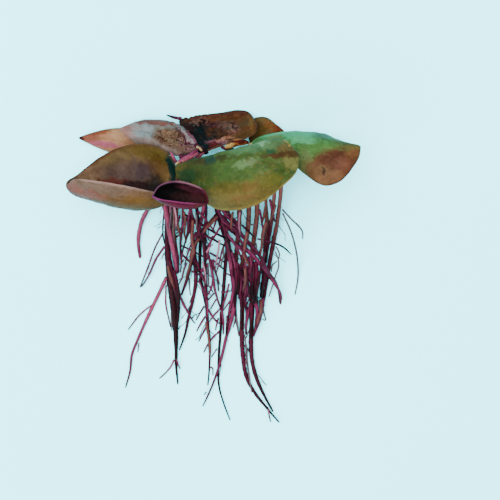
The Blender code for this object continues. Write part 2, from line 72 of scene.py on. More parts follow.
# Leaves, each as its midrib, its near and far margin, and how far each half bows out
LEAVES = {
    "leaf_front_left": {
        "midrib": [(-6.9, 17.9, 9.4), (-8.7, 14.3, 10.2), (-12.4, 13.2, 10.4), (-17.5, 13.6, 10.3),
                   (-22.3, 14.8, 10.3), (-25.4, 15.9, 10.5), (-26.5, 17.2, 10.9)],
        "near": [(-6.9, 17.9, 9.4), (-8.6, 15.8, 12.0), (-11.5, 16.2, 14.8), (-16.9, 17.3, 16.4),
                 (-22.0, 18.1, 15.0), (-25.4, 18.2, 12.4), (-26.5, 17.2, 10.9)],
        "far": [(-6.9, 17.9, 9.4), (-6.8, 20.4, 8.6), (-8.2, 22.9, 7.8), (-11.0, 24.4, 7.2), (-14.4, 24.6, 6.8),
                (-17.6, 23.8, 6.6), (-21.5, 21.6, 7.2), (-25.0, 18.8, 9.0), (-26.2, 18.1, 10.2), (-26.5, 17.2, 10.9)],
        "bow": (1.5, -2.2),
        "relief": 0.10,
    },
    "leaf_front_young": {
        "midrib": [(-1.0, 14.2, 16.3), (-4.0, 13.3, 16.1), (-7.5, 13.8, 16.3), (-11.1, 15.3, 17.7)],
        "near": [(-1.0, 14.2, 16.3), (-3.0, 14.0, 18.6), (-6.5, 14.3, 19.7), (-9.5, 14.7, 19.4), (-11.1, 15.3, 17.7)],
        "far": [(-1.0, 14.2, 16.3), (-1.4, 15.9, 16.1), (-4.1, 17.5, 15.9), (-7.0, 18.0, 15.8), (-9.8, 17.2, 16.2),
                (-11.1, 15.3, 17.7)],
        "bow": (0.5, -0.9),
        "relief": 0.05,
    },
    "leaf_front_green": {
        "midrib": [(-6.8, 20.9, 10.0), (-2.0, 22.2, 12.0), (2.0, 23.2, 13.5), (7.0, 24.5, 14.3), (12.4, 25.4, 14.3),
                   (15.2, 22.8, 14.8)],
        "near": [(-6.8, 20.9, 10.0), (-6.7, 18.9, 10.2), (-4.1, 17.0, 10.6), (-2.6, 15.0, 11.4), (-0.4, 13.4, 13.2),
                 (4.0, 12.8, 16.8), (8.0, 13.9, 18.4), (12.0, 16.8, 17.6), (15.0, 20.2, 15.6), (15.2, 22.8, 14.8)],
        "far": [(-6.8, 20.9, 10.0), (-1.5, 21.6, 10.2), (4.0, 22.6, 10.4), (10.0, 23.6, 11.0), (15.2, 22.8, 14.8)],
        "bow": (1.7, 0.7),
        "relief": 0.12,
    },
    "leaf_right": {
        "midrib": [(5.4, 23.4, 7.6), (9.0, 24.9, 8.2), (13.0, 25.6, 8.6), (18.0, 25.4, 9.2), (22.5, 24.9, 10.0),
                   (26.4, 24.2, 10.6)],
        "near": [(5.4, 23.4, 7.6), (10.5, 22.9, 8.8), (15.3, 20.2, 10.6), (17.5, 18.4, 12.2), (20.2, 17.2, 13.4),
                 (22.6, 17.9, 13.6), (24.8, 20.2, 12.8), (26.2, 22.6, 11.4), (26.4, 24.2, 10.6)],
        "far": [(5.4, 23.4, 7.6), (7.6, 25.5, 5.4), (12.0, 26.5, 3.2), (17.2, 26.5, 1.6), (20.2, 26.2, 2.6),
                (22.2, 25.0, 6.0), (26.4, 24.2, 10.6)],
        "bow": (1.3, 0.6),
        "relief": 0.10,
    },
    "leaf_back_brown": {
        "midrib": [(-1.8, 23.3, 6.8), (0.8, 25.8, 4.6), (4.2, 27.4, 3.6), (7.8, 28.0, 3.2)],
        "near": [(-1.8, 23.3, 6.8), (2.4, 24.7, 6.0), (5.4, 25.5, 5.0), (7.4, 26.6, 4.2), (7.8, 28.0, 3.2)],
        "far": [(-1.8, 23.3, 6.8), (-4.6, 26.2, 3.4), (-6.2, 28.8, 0.8), (-4.0, 30.0, -1.4), (1.0, 30.7, -1.9),
                (4.4, 31.1, -1.5), (6.6, 30.1, 1.0), (7.8, 28.0, 3.2)],
        "bow": (-0.4, -0.4),
        "relief": 0.10,
        "wrinkles": [(0.4, 27.3, 2.6, 2.4, 1.0), (3.0, 27.4, 1.6, 1.6, 1.2), (-3.2, 28.2, 2.6, 2.2, 1.2)],
    },
    "leaf_back_orange": {
        "midrib": [(6.6, 24.2, 1.2), (8.2, 26.2, 0.8), (10.0, 27.6, 0.6), (11.6, 27.9, 0.5)],
        "near": [(6.6, 24.2, 1.2), (9.6, 24.6, 0.9), (12.0, 25.8, 0.6), (12.6, 26.9, 0.4), (11.6, 27.9, 0.5)],
        "far": [(6.6, 24.2, 1.2), (6.2, 26.8, 0.5), (6.8, 29.0, 0.3), (9.2, 29.5, 0.3), (11.6, 27.9, 0.5)],
        "bow": (0.3, 0.2),
        "relief": 0.06,
    },
    "leaf_back_pink": {
        "midrib": [(-2.8, 23.6, 7.4), (-6.0, 25.1, 5.8), (-11.0, 26.6, 4.4), (-16.9, 27.3, 3.4)],
        "near": [(-2.8, 23.6, 7.4), (-6.6, 22.6, 6.4), (-9.6, 23.3, 5.6), (-13.0, 24.3, 4.8), (-15.6, 26.0, 4.0),
                 (-16.9, 27.3, 3.4)],
        "far": [(-2.8, 23.6, 7.4), (-3.8, 26.0, 5.0), (-6.6, 28.3, 2.8), (-10.0, 29.0, 1.8), (-13.6, 28.8, 2.0),
                (-16.9, 27.3, 3.4)],
        "bow": (0.7, 0.5),
        "relief": 0.10,
        "wrinkles": [(-7.6, 26.0, 2.6, 2.2, 1.0), (-4.2, 25.2, 2.2, 2.6, 0.9)],
    },
    "leaf_far_left": {
        "midrib": [(-10.4, 22.0, 2.4), (-14.5, 24.4, 1.5), (-19.5, 25.6, 0.9), (-24.3, 25.8, 0.8)],
        "near": [(-10.4, 22.0, 2.4), (-14.5, 21.9, 1.6), (-18.8, 23.2, 1.0), (-21.8, 24.4, 0.8), (-24.3, 25.8, 0.8)],
        "far": [(-10.4, 22.0, 2.4), (-11.4, 25.0, 1.4), (-14.8, 27.3, 0.7), (-18.6, 27.4, 0.5), (-21.8, 26.7, 0.5),
                (-24.3, 25.8, 0.8)],
        "bow": (0.4, 0.3),
        "relief": 0.06,
    },
}

# What each leaf looks like. Colours are of its upper side, underside, near and far rim and veins. Veins are
# (count, slant, width, share). A patch is (side, across, up, radius across, radius up, turn, softness,
# strength, colour); some patches are painted shade or painted highlight, marked where they stand. A net of
# dry skin (side, across, up, radius across, radius up, turn, pitch, pale colour, dark colour) paints its
# blotching with painted highlight on the ridges and painted shade in the folds, and a cloud is (colour,
# pitch across, pitch up, from, to, strength).
LEAF_LOOKS = {
    "leaf_front_left": {
        "upper": "372914", "under": "3b2b1c", "rim": "4e3c35", "far_rim": "281908", "vein": "231a09",
        "veins": (11.0, 2.6, 0.12, 0.16), "contrast": 0.9, "specks": 0.15, "bump": 0.4,
        "rim_from": 0.94, "rim_share": 0.7, "gloss": 0.03, "fray": 1.8,
        "patches": [
            ("upper", -23.04, 21.24, 3.96, 1.44, -38.0, 0.8, 0.85, "210502"),
            ("upper", -22.32, 19.62, 3.24, 1.26, 0.0, 0.8, 0.7, "554131"),
            ("upper", -17.28, 21.78, 4.32, 1.62, -10.0, 0.9, 0.6, "403422"),
            ("upper", -15.48, 19.62, 5.04, 1.8, 0.0, 0.9, 0.85, "281c1a"),
            ("upper", -12.78, 19.62, 1.62, 1.8, 0.0, 0.8, 0.6, "1c1418"),
            ("upper", -16.56, 20.34, 0.9, 1.62, 0.0, 0.9, 0.5, "332721"),
            ("upper", -14.4, 20.7, 0.54, 1.62, 0.0, 0.9, 0.5, "302621"),
            # Partly purple pigment, partly painted shade: dark patches along the near rim where the cup is deepest
            ("upper", -17.64, 17.82, 3.24, 0.72, 4.0, 0.8, 0.8, "310c09"),
            ("upper", -12.96, 16.92, 3.6, 1.08, 6.0, 0.7, 1.0, "0f0202"),
            ("upper", -10.26, 17.64, 1.44, 1.8, 0.0, 0.8, 0.9, "060202"),
            ("upper", -11.52, 23.22, 3.96, 0.9, 8.0, 0.9, 0.7, "30260a"),
            ("upper", -9.72, 22.14, 1.44, 2.16, -30.0, 0.8, 0.8, "2b2309"),
            ("upper", -9.18, 19.62, 0.9, 1.62, 0.0, 0.8, 0.7, "32230c"),
            ("upper", -10.62, 20.7, 1.08, 1.62, 0.0, 0.8, 0.6, "261504"),
            # Painted shade: a dark teal band where the blade curves down and away at its base
            ("upper", -7.38, 20.52, 0.9, 3.24, -12.0, 0.6, 1.0, "02110e"),
            ("under", -20.52, 16.92, 6.12, 1.08, 5.0, 0.9, 0.7, "3c3029"),
            ("under", -26.28, 17.46, 1.44, 1.08, 0.0, 0.8, 0.7, "472c28"),
            ("under", -23.04, 15.48, 3.6, 1.08, 14.0, 0.9, 0.7, "4b2620"),
            ("under", -13.32, 13.86, 6.12, 1.08, 0.0, 0.9, 0.7, "3b2809"),
            ("under", -18.72, 14.22, 4.32, 0.72, 4.0, 0.9, 0.5, "351c02"),
            ("rim", -18.72, 17.64, 7.92, 1.08, 5.0, 0.9, 0.8, "5e4a44"),
            ("rim", -22.32, 21.24, 5.4, 1.44, -38.0, 0.9, 0.8, "2b0402"),
        ],
        "nets": [
        ],
        "clouds": [
            ("251b0a", 0.5, 1.1, 0.5, 0.68, 0.5),
            ("4b3822", 0.5, 1.0, 0.52, 0.68, 0.4),
            ("321c11", 0.9, 1.2, 0.52, 0.68, 0.35),
        ],
    },
    "leaf_front_young": {
        "upper": "020202", "under": "25040e", "rim": "491734", "far_rim": "3b1f30", "vein": "0d0204",
        "veins": (7.0, 2.0, 0.1, 0.3), "contrast": 0.8, "specks": 0.0, "bump": 0.4,
        "rim_from": 0.92, "rim_share": 0.95, "gloss": 0.02, "fray": 1.3,
        "patches": [
            ("upper", -5.04, 15.12, 2.52, 0.72, 5.0, 0.8, 0.8, "110202"),
            ("upper", -1.8, 15.12, 2.52, 1.62, 10.0, 0.8, 0.95, "1c0709"),
            ("upper", -3.96, 16.56, 2.52, 0.54, 12.0, 0.8, 0.7, "280f17"),
            ("under", -1.8, 13.86, 2.16, 1.08, 0.0, 0.8, 0.8, "32100d"),
            ("under", -7.56, 13.5, 3.96, 0.45, 4.0, 0.8, 0.8, "3c0216"),
            ("under", -10.44, 14.94, 0.72, 0.72, 0.0, 0.8, 0.7, "3f1930"),
            ("rim", -1.08, 15.12, 2.52, 1.8, 0.0, 0.8, 0.95, "280207"),
            ("rim", -4.32, 17.46, 2.16, 0.72, 10.0, 0.8, 0.8, "52343d"),
        ],
        "nets": [
        ],
        "clouds": [
        ],
    },
    "leaf_front_green": {
        "upper": "202b0d", "under": "202b0d", "rim": "4b3f19", "far_rim": "252f1b", "vein": "2b3214",
        "veins": (9.0, 2.4, 0.12, 0.06), "contrast": 1.0, "specks": 0.15, "bump": 0.4,
        "rim_from": 0.94, "rim_share": 0.7, "gloss": 0.03, "fray": 2.2,
        "patches": [
            ("both", 4.32, 15.12, 8.28, 2.16, -8.0, 0.9, 0.85, "362c11"),
            ("both", -5.76, 19.98, 1.08, 1.62, 0.0, 0.8, 0.8, "34290e"),
            ("both", -2.88, 20.34, 3.6, 2.16, -8.0, 0.9, 0.8, "191e0a"),
            ("both", -0.36, 21.78, 3.96, 0.63, -8.0, 0.8, 0.8, "171407"),
            ("both", -0.54, 21.96, 0.9, 0.72, 0.0, 0.8, 0.7, "0a1c17"),
            ("both", -4.86, 19.08, 1.62, 1.08, 0.0, 0.8, 0.85, "0a1d0d"),
            ("both", 3.24, 19.98, 3.96, 1.8, 0.0, 0.9, 0.7, "1e2d10"),
            ("both", 8.64, 24.66, 5.4, 1.08, -12.0, 0.9, 0.8, "2a4129"),
            ("both", 4.86, 20.88, 1.44, 0.72, -8.0, 0.8, 0.7, "36462a"),
            ("both", 6.84, 21.6, 1.26, 0.63, -8.0, 0.8, 0.6, "39432d"),
            ("both", 8.64, 25.02, 1.08, 0.54, -8.0, 0.8, 0.7, "43583e"),
            ("both", 10.26, 23.22, 0.9, 0.63, -8.0, 0.8, 0.8, "0d2416"),
            ("both", 11.16, 24.66, 1.8, 0.9, -8.0, 0.9, 0.7, "28351e"),
            ("both", 13.5, 23.76, 1.98, 1.08, -4.0, 0.8, 0.85, "332813"),
            ("both", 12.24, 22.68, 3.24, 0.5, -4.0, 0.7, 0.95, "251607"),
            ("both", 14.04, 21.24, 1.44, 1.26, 0.0, 0.8, 0.7, "454020"),
            ("both", 8.64, 17.82, 3.24, 1.26, -14.0, 0.9, 0.7, "34300d"),
            ("both", 6.48, 16.92, 1.62, 0.63, -8.0, 0.9, 0.45, "371f0a"),
            ("both", 5.04, 14.94, 2.52, 0.54, -8.0, 0.9, 0.5, "39240e"),
            ("both", 0.9, 15.3, 2.16, 1.44, 0.0, 0.8, 0.75, "373013"),
            ("both", 2.88, 16.92, 2.52, 0.9, 0.0, 0.9, 0.6, "282305"),
            ("both", 13.68, 25.2, 1.08, 0.45, 30.0, 0.7, 0.7, "624f1d"),
            ("rim", 14.04, 20.34, 2.88, 3.6, 0.0, 0.8, 0.95, "715829"),
            ("rim", 4.68, 13.5, 7.2, 2.16, 0.0, 0.8, 0.8, "453a19"),
        ],
        "nets": [
        ],
        "clouds": [
            ("364128", 0.9, 1.4, 0.5, 0.68, 0.4),
            ("0e1f0e", 0.8, 1.3, 0.5, 0.68, 0.45),
            ("382b0a", 0.9, 1.2, 0.52, 0.68, 0.4),
            ("321b0a", 1.1, 1.4, 0.56, 0.7, 0.3),
        ],
    },
    "leaf_right": {
        "upper": "263c18", "under": "2d1c0e", "rim": "290a05", "far_rim": "21482f", "vein": "344527",
        "veins": (8.0, 2.0, 0.12, 0.05), "contrast": 1.0, "specks": 0.2, "bump": 0.4,
        "rim_from": 0.94, "rim_share": 0.7, "gloss": 0.03, "fray": 2.0,
        "patches": [
            ("both", 14.04, 26.64, 7.2, 0.9, 0.0, 0.8, 0.9, "26603a"),
            ("both", 19.44, 26.46, 1.44, 0.72, 0.0, 0.8, 0.7, "2a2713"),
            ("both", 11.16, 25.92, 1.44, 0.45, -10.0, 0.8, 0.7, "3b360a"),
            ("both", 17.64, 24.12, 2.52, 1.08, 0.0, 0.9, 0.6, "293d1a"),
            ("both", 16.02, 25.2, 2.16, 0.54, 4.0, 0.8, 0.6, "336644"),
            ("both", 23.58, 24.84, 2.52, 0.45, 12.0, 0.8, 0.6, "2e2d16"),
            ("both", 16.2, 21.78, 1.26, 1.8, 0.0, 0.9, 0.7, "373c21"),
            ("both", 22.32, 20.88, 6.12, 2.88, -14.0, 0.6, 1.0, "311b0d"),
            ("both", 20.88, 18.54, 2.88, 1.44, 0.0, 0.8, 0.85, "3d2818"),
            ("both", 18.72, 20.34, 1.8, 1.26, 20.0, 0.8, 0.8, "362514"),
            ("both", 21.6, 22.32, 3.24, 1.08, -16.0, 0.8, 0.85, "2d150b"),
            ("both", 23.22, 21.06, 1.62, 1.08, 0.0, 0.8, 0.75, "3c2116"),
            ("both", 25.02, 23.22, 1.44, 1.08, 20.0, 0.8, 0.8, "3d2513"),
            ("both", 23.76, 23.94, 2.16, 0.45, 4.0, 0.8, 0.7, "333014"),
            ("both", 19.8, 19.62, 0.45, 0.45, 0.0, 0.6, 0.8, "110702"),
            ("rim", 25.92, 22.86, 1.44, 2.16, 0.0, 0.8, 0.95, "480e02"),
            ("rim", 15.66, 21.78, 1.08, 2.16, 0.0, 0.8, 0.9, "68622f"),
        ],
        "nets": [
        ],
        "clouds": [
            ("375930", 0.8, 1.3, 0.5, 0.68, 0.4),
            ("1d2e10", 0.8, 1.2, 0.5, 0.68, 0.4),
        ],
    },
    "leaf_back_brown": {
        "upper": "2c1708", "under": "4d2e22", "rim": "342114", "far_rim": "0c0202", "vein": "331f0c",
        "veins": (7.0, 2.6, 0.1, 0.12), "contrast": 1.1, "specks": 0.1, "bump": 0.4,
        "rim_from": 0.94, "rim_share": 0.7, "gloss": 0.03, "fray": 2.4,
        "patches": [
            ("upper", 0.36, 30.06, 6.12, 0.54, -6.0, 0.8, 0.7, "1f0702"),
            ("upper", 0.54, 28.08, 2.16, 0.54, 0.0, 0.7, 0.9, "250911"),
            ("upper", 2.16, 28.08, 1.8, 0.63, 8.0, 0.8, 0.6, "33241c"),
            ("upper", 3.6, 27.36, 1.08, 0.63, 10.0, 0.8, 0.6, "3c2821"),
            ("upper", 3.06, 26.64, 1.26, 0.36, -10.0, 0.8, 0.7, "442c29"),
            # Painted shade: the deep shade between the back leaves
            ("upper", -2.88, 28.26, 2.34, 1.08, 0.0, 0.7, 0.85, "180508"),
            ("upper", -3.24, 28.8, 1.08, 0.36, -6.0, 0.8, 0.6, "3e2d25"),
            ("upper", 0.0, 26.64, 2.7, 1.08, 0.0, 0.7, 0.9, "180602"),
            ("upper", 0.9, 27.0, 1.44, 0.54, 0.0, 0.8, 0.6, "251406"),
            # Painted shade: near-black where the back leaves' bases lie in shade
            ("upper", -2.88, 26.64, 1.62, 1.62, 20.0, 0.6, 1.0, "020202"),
            ("upper", -1.8, 24.66, 1.62, 1.44, 20.0, 0.6, 1.0, "020202"),
            ("upper", -4.86, 27.36, 1.44, 1.44, 0.0, 0.7, 0.85, "0e0202"),
            ("upper", 6.12, 27.72, 1.44, 1.8, 0.0, 0.8, 0.6, "271502"),
            ("upper", 6.84, 28.26, 0.36, 1.62, -10.0, 0.8, 0.7, "37250b"),
            ("upper", 4.68, 26.46, 2.52, 0.54, -14.0, 0.8, 0.6, "2b1b08"),
            # Partly the rolled near margin's pink, partly painted highlight along it
            ("both", 0.54, 25.02, 1.62, 0.45, -6.0, 0.7, 0.9, "45272d"),
            ("both", 2.16, 25.56, 1.44, 0.32, -14.0, 0.7, 0.8, "57382b"),
            ("both", 0.36, 24.48, 1.44, 0.29, 0.0, 0.7, 0.9, "270203"),
        ],
        "nets": [
            # Dry nets: blotching with painted highlight on the ridges and painted shade in the folds
            ("upper", -1.98, 28.62, 1.98, 0.72, 0.0, 0.8, "442f27", "0a0202"),
            ("upper", 3.06, 27.54, 1.62, 0.9, 10.0, 0.7, "472c23", "180202"),
            ("upper", -0.18, 26.28, 1.44, 1.08, 0.0, 0.9, "251108", "050202"),
        ],
        "clouds": [
            ("341d0b", 0.6, 1.1, 0.5, 0.68, 0.4),
            ("180802", 0.6, 1.1, 0.52, 0.68, 0.4),
        ],
    },
    "leaf_back_orange": {
        "upper": "2f230b", "under": "2f230b", "rim": "130702", "far_rim": "130702", "vein": "453415",
        "veins": (8.0, 2.0, 0.12, 0.3), "contrast": 0.9, "specks": 0.2, "bump": 0.4,
        "rim_from": 0.9, "rim_share": 0.7, "gloss": 0.03, "fray": 1.3,
        "patches": [
            ("both", 10.44, 27.9, 1.44, 0.9, 30.0, 0.8, 0.8, "432810"),
            ("both", 11.52, 27.36, 0.9, 0.72, 0.0, 0.8, 0.8, "3d1405"),
            ("both", 7.74, 28.08, 0.72, 1.62, 0.0, 0.8, 0.6, "271804"),
        ],
        "nets": [
        ],
        "clouds": [
        ],
    },
    "leaf_back_pink": {
        "upper": "433834", "under": "37201a", "rim": "605139", "far_rim": "371a16", "vein": "2a211c",
        "veins": (6.0, 3.0, 0.1, 0.12), "contrast": 1.1, "specks": 0.2, "bump": 0.4,
        "rim_from": 0.94, "rim_share": 0.7, "gloss": 0.03, "fray": 2.2,
        "patches": [
            ("upper", -15.12, 27.18, 1.62, 1.26, 0.0, 0.8, 0.8, "563934"),
            ("upper", -12.24, 27.0, 2.52, 1.26, 0.0, 0.9, 0.8, "484f50"),
            ("upper", -9.72, 28.8, 5.04, 0.54, 0.0, 0.8, 0.8, "401a13"),
            ("upper", -9.18, 27.54, 1.8, 0.72, 0.0, 0.8, 0.6, "3c3a34"),
            ("upper", -7.74, 25.74, 3.06, 1.44, 12.0, 0.6, 0.9, "2e1d10"),
            ("upper", -5.76, 24.12, 2.16, 0.9, 30.0, 0.8, 0.85, "2d1f15"),
            ("upper", -5.94, 28.44, 1.62, 0.72, 20.0, 0.8, 0.8, "35180b"),
            ("upper", -4.86, 26.1, 2.88, 0.43, 50.0, 0.6, 0.85, "4a4343"),
            ("upper", -4.05, 26.46, 2.7, 0.29, 52.0, 0.6, 0.9, "310a15"),
            ("upper", -5.76, 26.1, 2.16, 0.25, 50.0, 0.6, 0.8, "1e060b"),
            ("upper", -3.24, 25.2, 1.98, 0.32, 55.0, 0.6, 0.9, "4a212d"),
            ("upper", -3.78, 23.94, 1.44, 0.54, 20.0, 0.7, 0.8, "2e1815"),
            ("rim", -10.62, 25.2, 4.68, 0.72, 0.0, 0.8, 0.8, "5f5241"),
        ],
        "nets": [
            # Dry nets: blotching with painted highlight on the ridges and painted shade in the folds
            ("upper", -7.92, 25.74, 2.7, 1.26, 12.0, 0.9, "493929", "1e0c05"),
            ("upper", -4.86, 24.84, 1.62, 1.26, 45.0, 0.8, "4d363f", "21050e"),
        ],
        "clouds": [
            ("584a45", 0.7, 1.2, 0.5, 0.68, 0.45),
            ("30211c", 0.7, 1.2, 0.52, 0.68, 0.4),
        ],
    },
    "leaf_far_left": {
        "upper": "5d402d", "under": "432d25", "rim": "716257", "far_rim": "422817", "vein": "47291e",
        "veins": (7.0, 2.4, 0.12, 0.25), "contrast": 0.7, "specks": 0.1, "bump": 0.4,
        "rim_from": 0.94, "rim_share": 0.7, "gloss": 0.03, "fray": 1.3,
        "patches": [
            ("both", -20.88, 27.0, 3.6, 0.72, -12.0, 0.8, 0.8, "3e1303"),
            ("both", -19.8, 24.66, 2.88, 0.54, 8.0, 0.8, 0.8, "5a2638"),
            ("both", -22.68, 25.74, 1.8, 0.72, 0.0, 0.8, 0.7, "492419"),
            ("both", -24.12, 25.74, 0.72, 0.72, 0.0, 0.7, 0.9, "150202"),
            ("both", -17.28, 26.28, 1.62, 1.26, 0.0, 0.8, 0.6, "644d37"),
        ],
        "nets": [
        ],
        "clouds": [
        ],
    },
    "leaf_rolled": {
        "upper": "1a0202", "under": "542d0f", "rim": "2a0202", "far_rim": "2a0202", "vein": "4c2503",
        "veins": (5.0, 1.0, 0.12, 0.2), "contrast": 1.0, "specks": 0.2, "bump": 0.4,
        "rim_from": 0.85, "rim_share": 0.9, "gloss": 0.03, "fray": 1.3,
        "patches": [
            ("under", 4.68, 25.16, 2.7, 0.27, -6.0, 0.6, 1.0, "230202"),
            ("under", 6.48, 24.48, 0.54, 1.08, 0.0, 0.6, 1.0, "230202"),
            ("under", 2.7, 24.3, 1.08, 0.43, -6.0, 0.8, 0.8, "766032"),
            ("under", 4.68, 24.12, 1.26, 0.43, -6.0, 0.8, 0.7, "3f1a03"),
        ],
        "nets": [
        ],
        "clouds": [
        ],
    },
}

STEM_RADIUS = 0.7
STALK_RADIUS = 0.35
BUD_RADIUS = 0.75
BUD_SWELL = (0.3, 0.8, 1.0, 1.0, 0.95, 0.75, 0.3)
STEM_ROUTE = [(-5.9, 20.3, 8.4), (-2.0, 20.0, 8.3), (4.0, 19.6, 8.5), (9.0, 20.0, 8.3), (12.6, 20.2, 8.4)]
BUD_ROUTE = [(2.0, 24.0, 9.3), (4.0, 25.0, 9.2), (6.3, 25.0, 9.1)]
STALKS = {
    "stalk_back_pink": [(-5.6, 21.5, 9.0), (-4.2, 22.3, 9.1), (-3.0, 23.0, 8.5)],
    "stalk_back_brown": [(-4.6, 21.4, 7.8), (-3.2, 22.0, 7.4), (-1.9, 23.3, 7.0)],
    "stalk_front_young": [(-5.2, 19.0, 8.9), (-5.2, 17.6, 9.3), (-5.6, 16.3, 11.4), (-5.7, 15.4, 14.1)],
    "stalk_far_left": [(-6.3, 20.0, 6.9), (-7.6, 20.8, 4.4), (-9.8, 21.7, 2.6)],
    "stalk_back_orange": [(5.2, 20.8, 7.4), (5.8, 22.4, 4.6), (6.2, 23.8, 2.2)],
    "stalk_right": [(4.9, 21.0, 8.4), (5.0, 22.0, 8.2), (5.2, 22.8, 7.9)],
}
# Scraps of dry sheath where the stalks meet and the back leaf's curled tip; dark tubes that are painted shade
# in the gaps between the stalks, under the back leaf's base and below the rolled leaf; and pale cream blobs
# that are painted highlights, the one at the stem's end also its pale scar. By look, as (across, up, height, radius)
SHEATHS_AND_PAINTED_LIGHT = {
    "dark": [
        # Painted shade: a dark fill in the gap between the pink stalks
        [(-6.2, 22.6, 7.6, 0.30), (-5.0, 22.2, 7.6, 0.50), (-4.1, 22.7, 7.4, 0.35)],
        # Painted shade: a dark fill in the shade under the back brown leaf's base
        [(-3.4, 24.6, 7.0, 0.30), (-2.2, 23.6, 6.8, 0.50), (-1.3, 23.2, 6.6, 0.35)],
        [(-5.9, 29.2, 1.6, 0.26), (-7.3, 29.5, 1.6, 0.17), (-8.5, 29.9, 1.5, 0.06)],
        # Painted shade: a dark strip in the shadow below the rolled leaf
        [(1.4, 24.2, 7.8, 0.20), (2.2, 23.8, 8.2, 0.26), (3.6, 23.7, 8.3, 0.16)],
    ],
    "pink": [
        [(-7.7, 23.1, 7.4, 0.16), (-7.2, 22.0, 7.8, 0.22), (-6.6, 21.2, 8.2, 0.24)],
        [(-6.6, 21.2, 8.6, 0.24), (-4.6, 22.5, 9.0, 0.26), (-2.9, 23.7, 8.6, 0.20)],
    ],
    "cream": [
        # Painted highlights: pale blobs where the stalks and the rolled leaf's tip glint; the first, at the stem's end,
        # is also its pale scar
        [(-6.8, 21.1, 8.8, 0.14), (-6.3, 21.4, 8.9, 0.12)],
        [(-3.1, 24.2, 8.0, 0.14), (-2.6, 23.9, 8.1, 0.20), (-2.2, 23.5, 8.1, 0.14)],
        [(6.2, 24.7, 8.9, 0.10), (6.8, 24.7, 8.9, 0.13)],
    ],
}

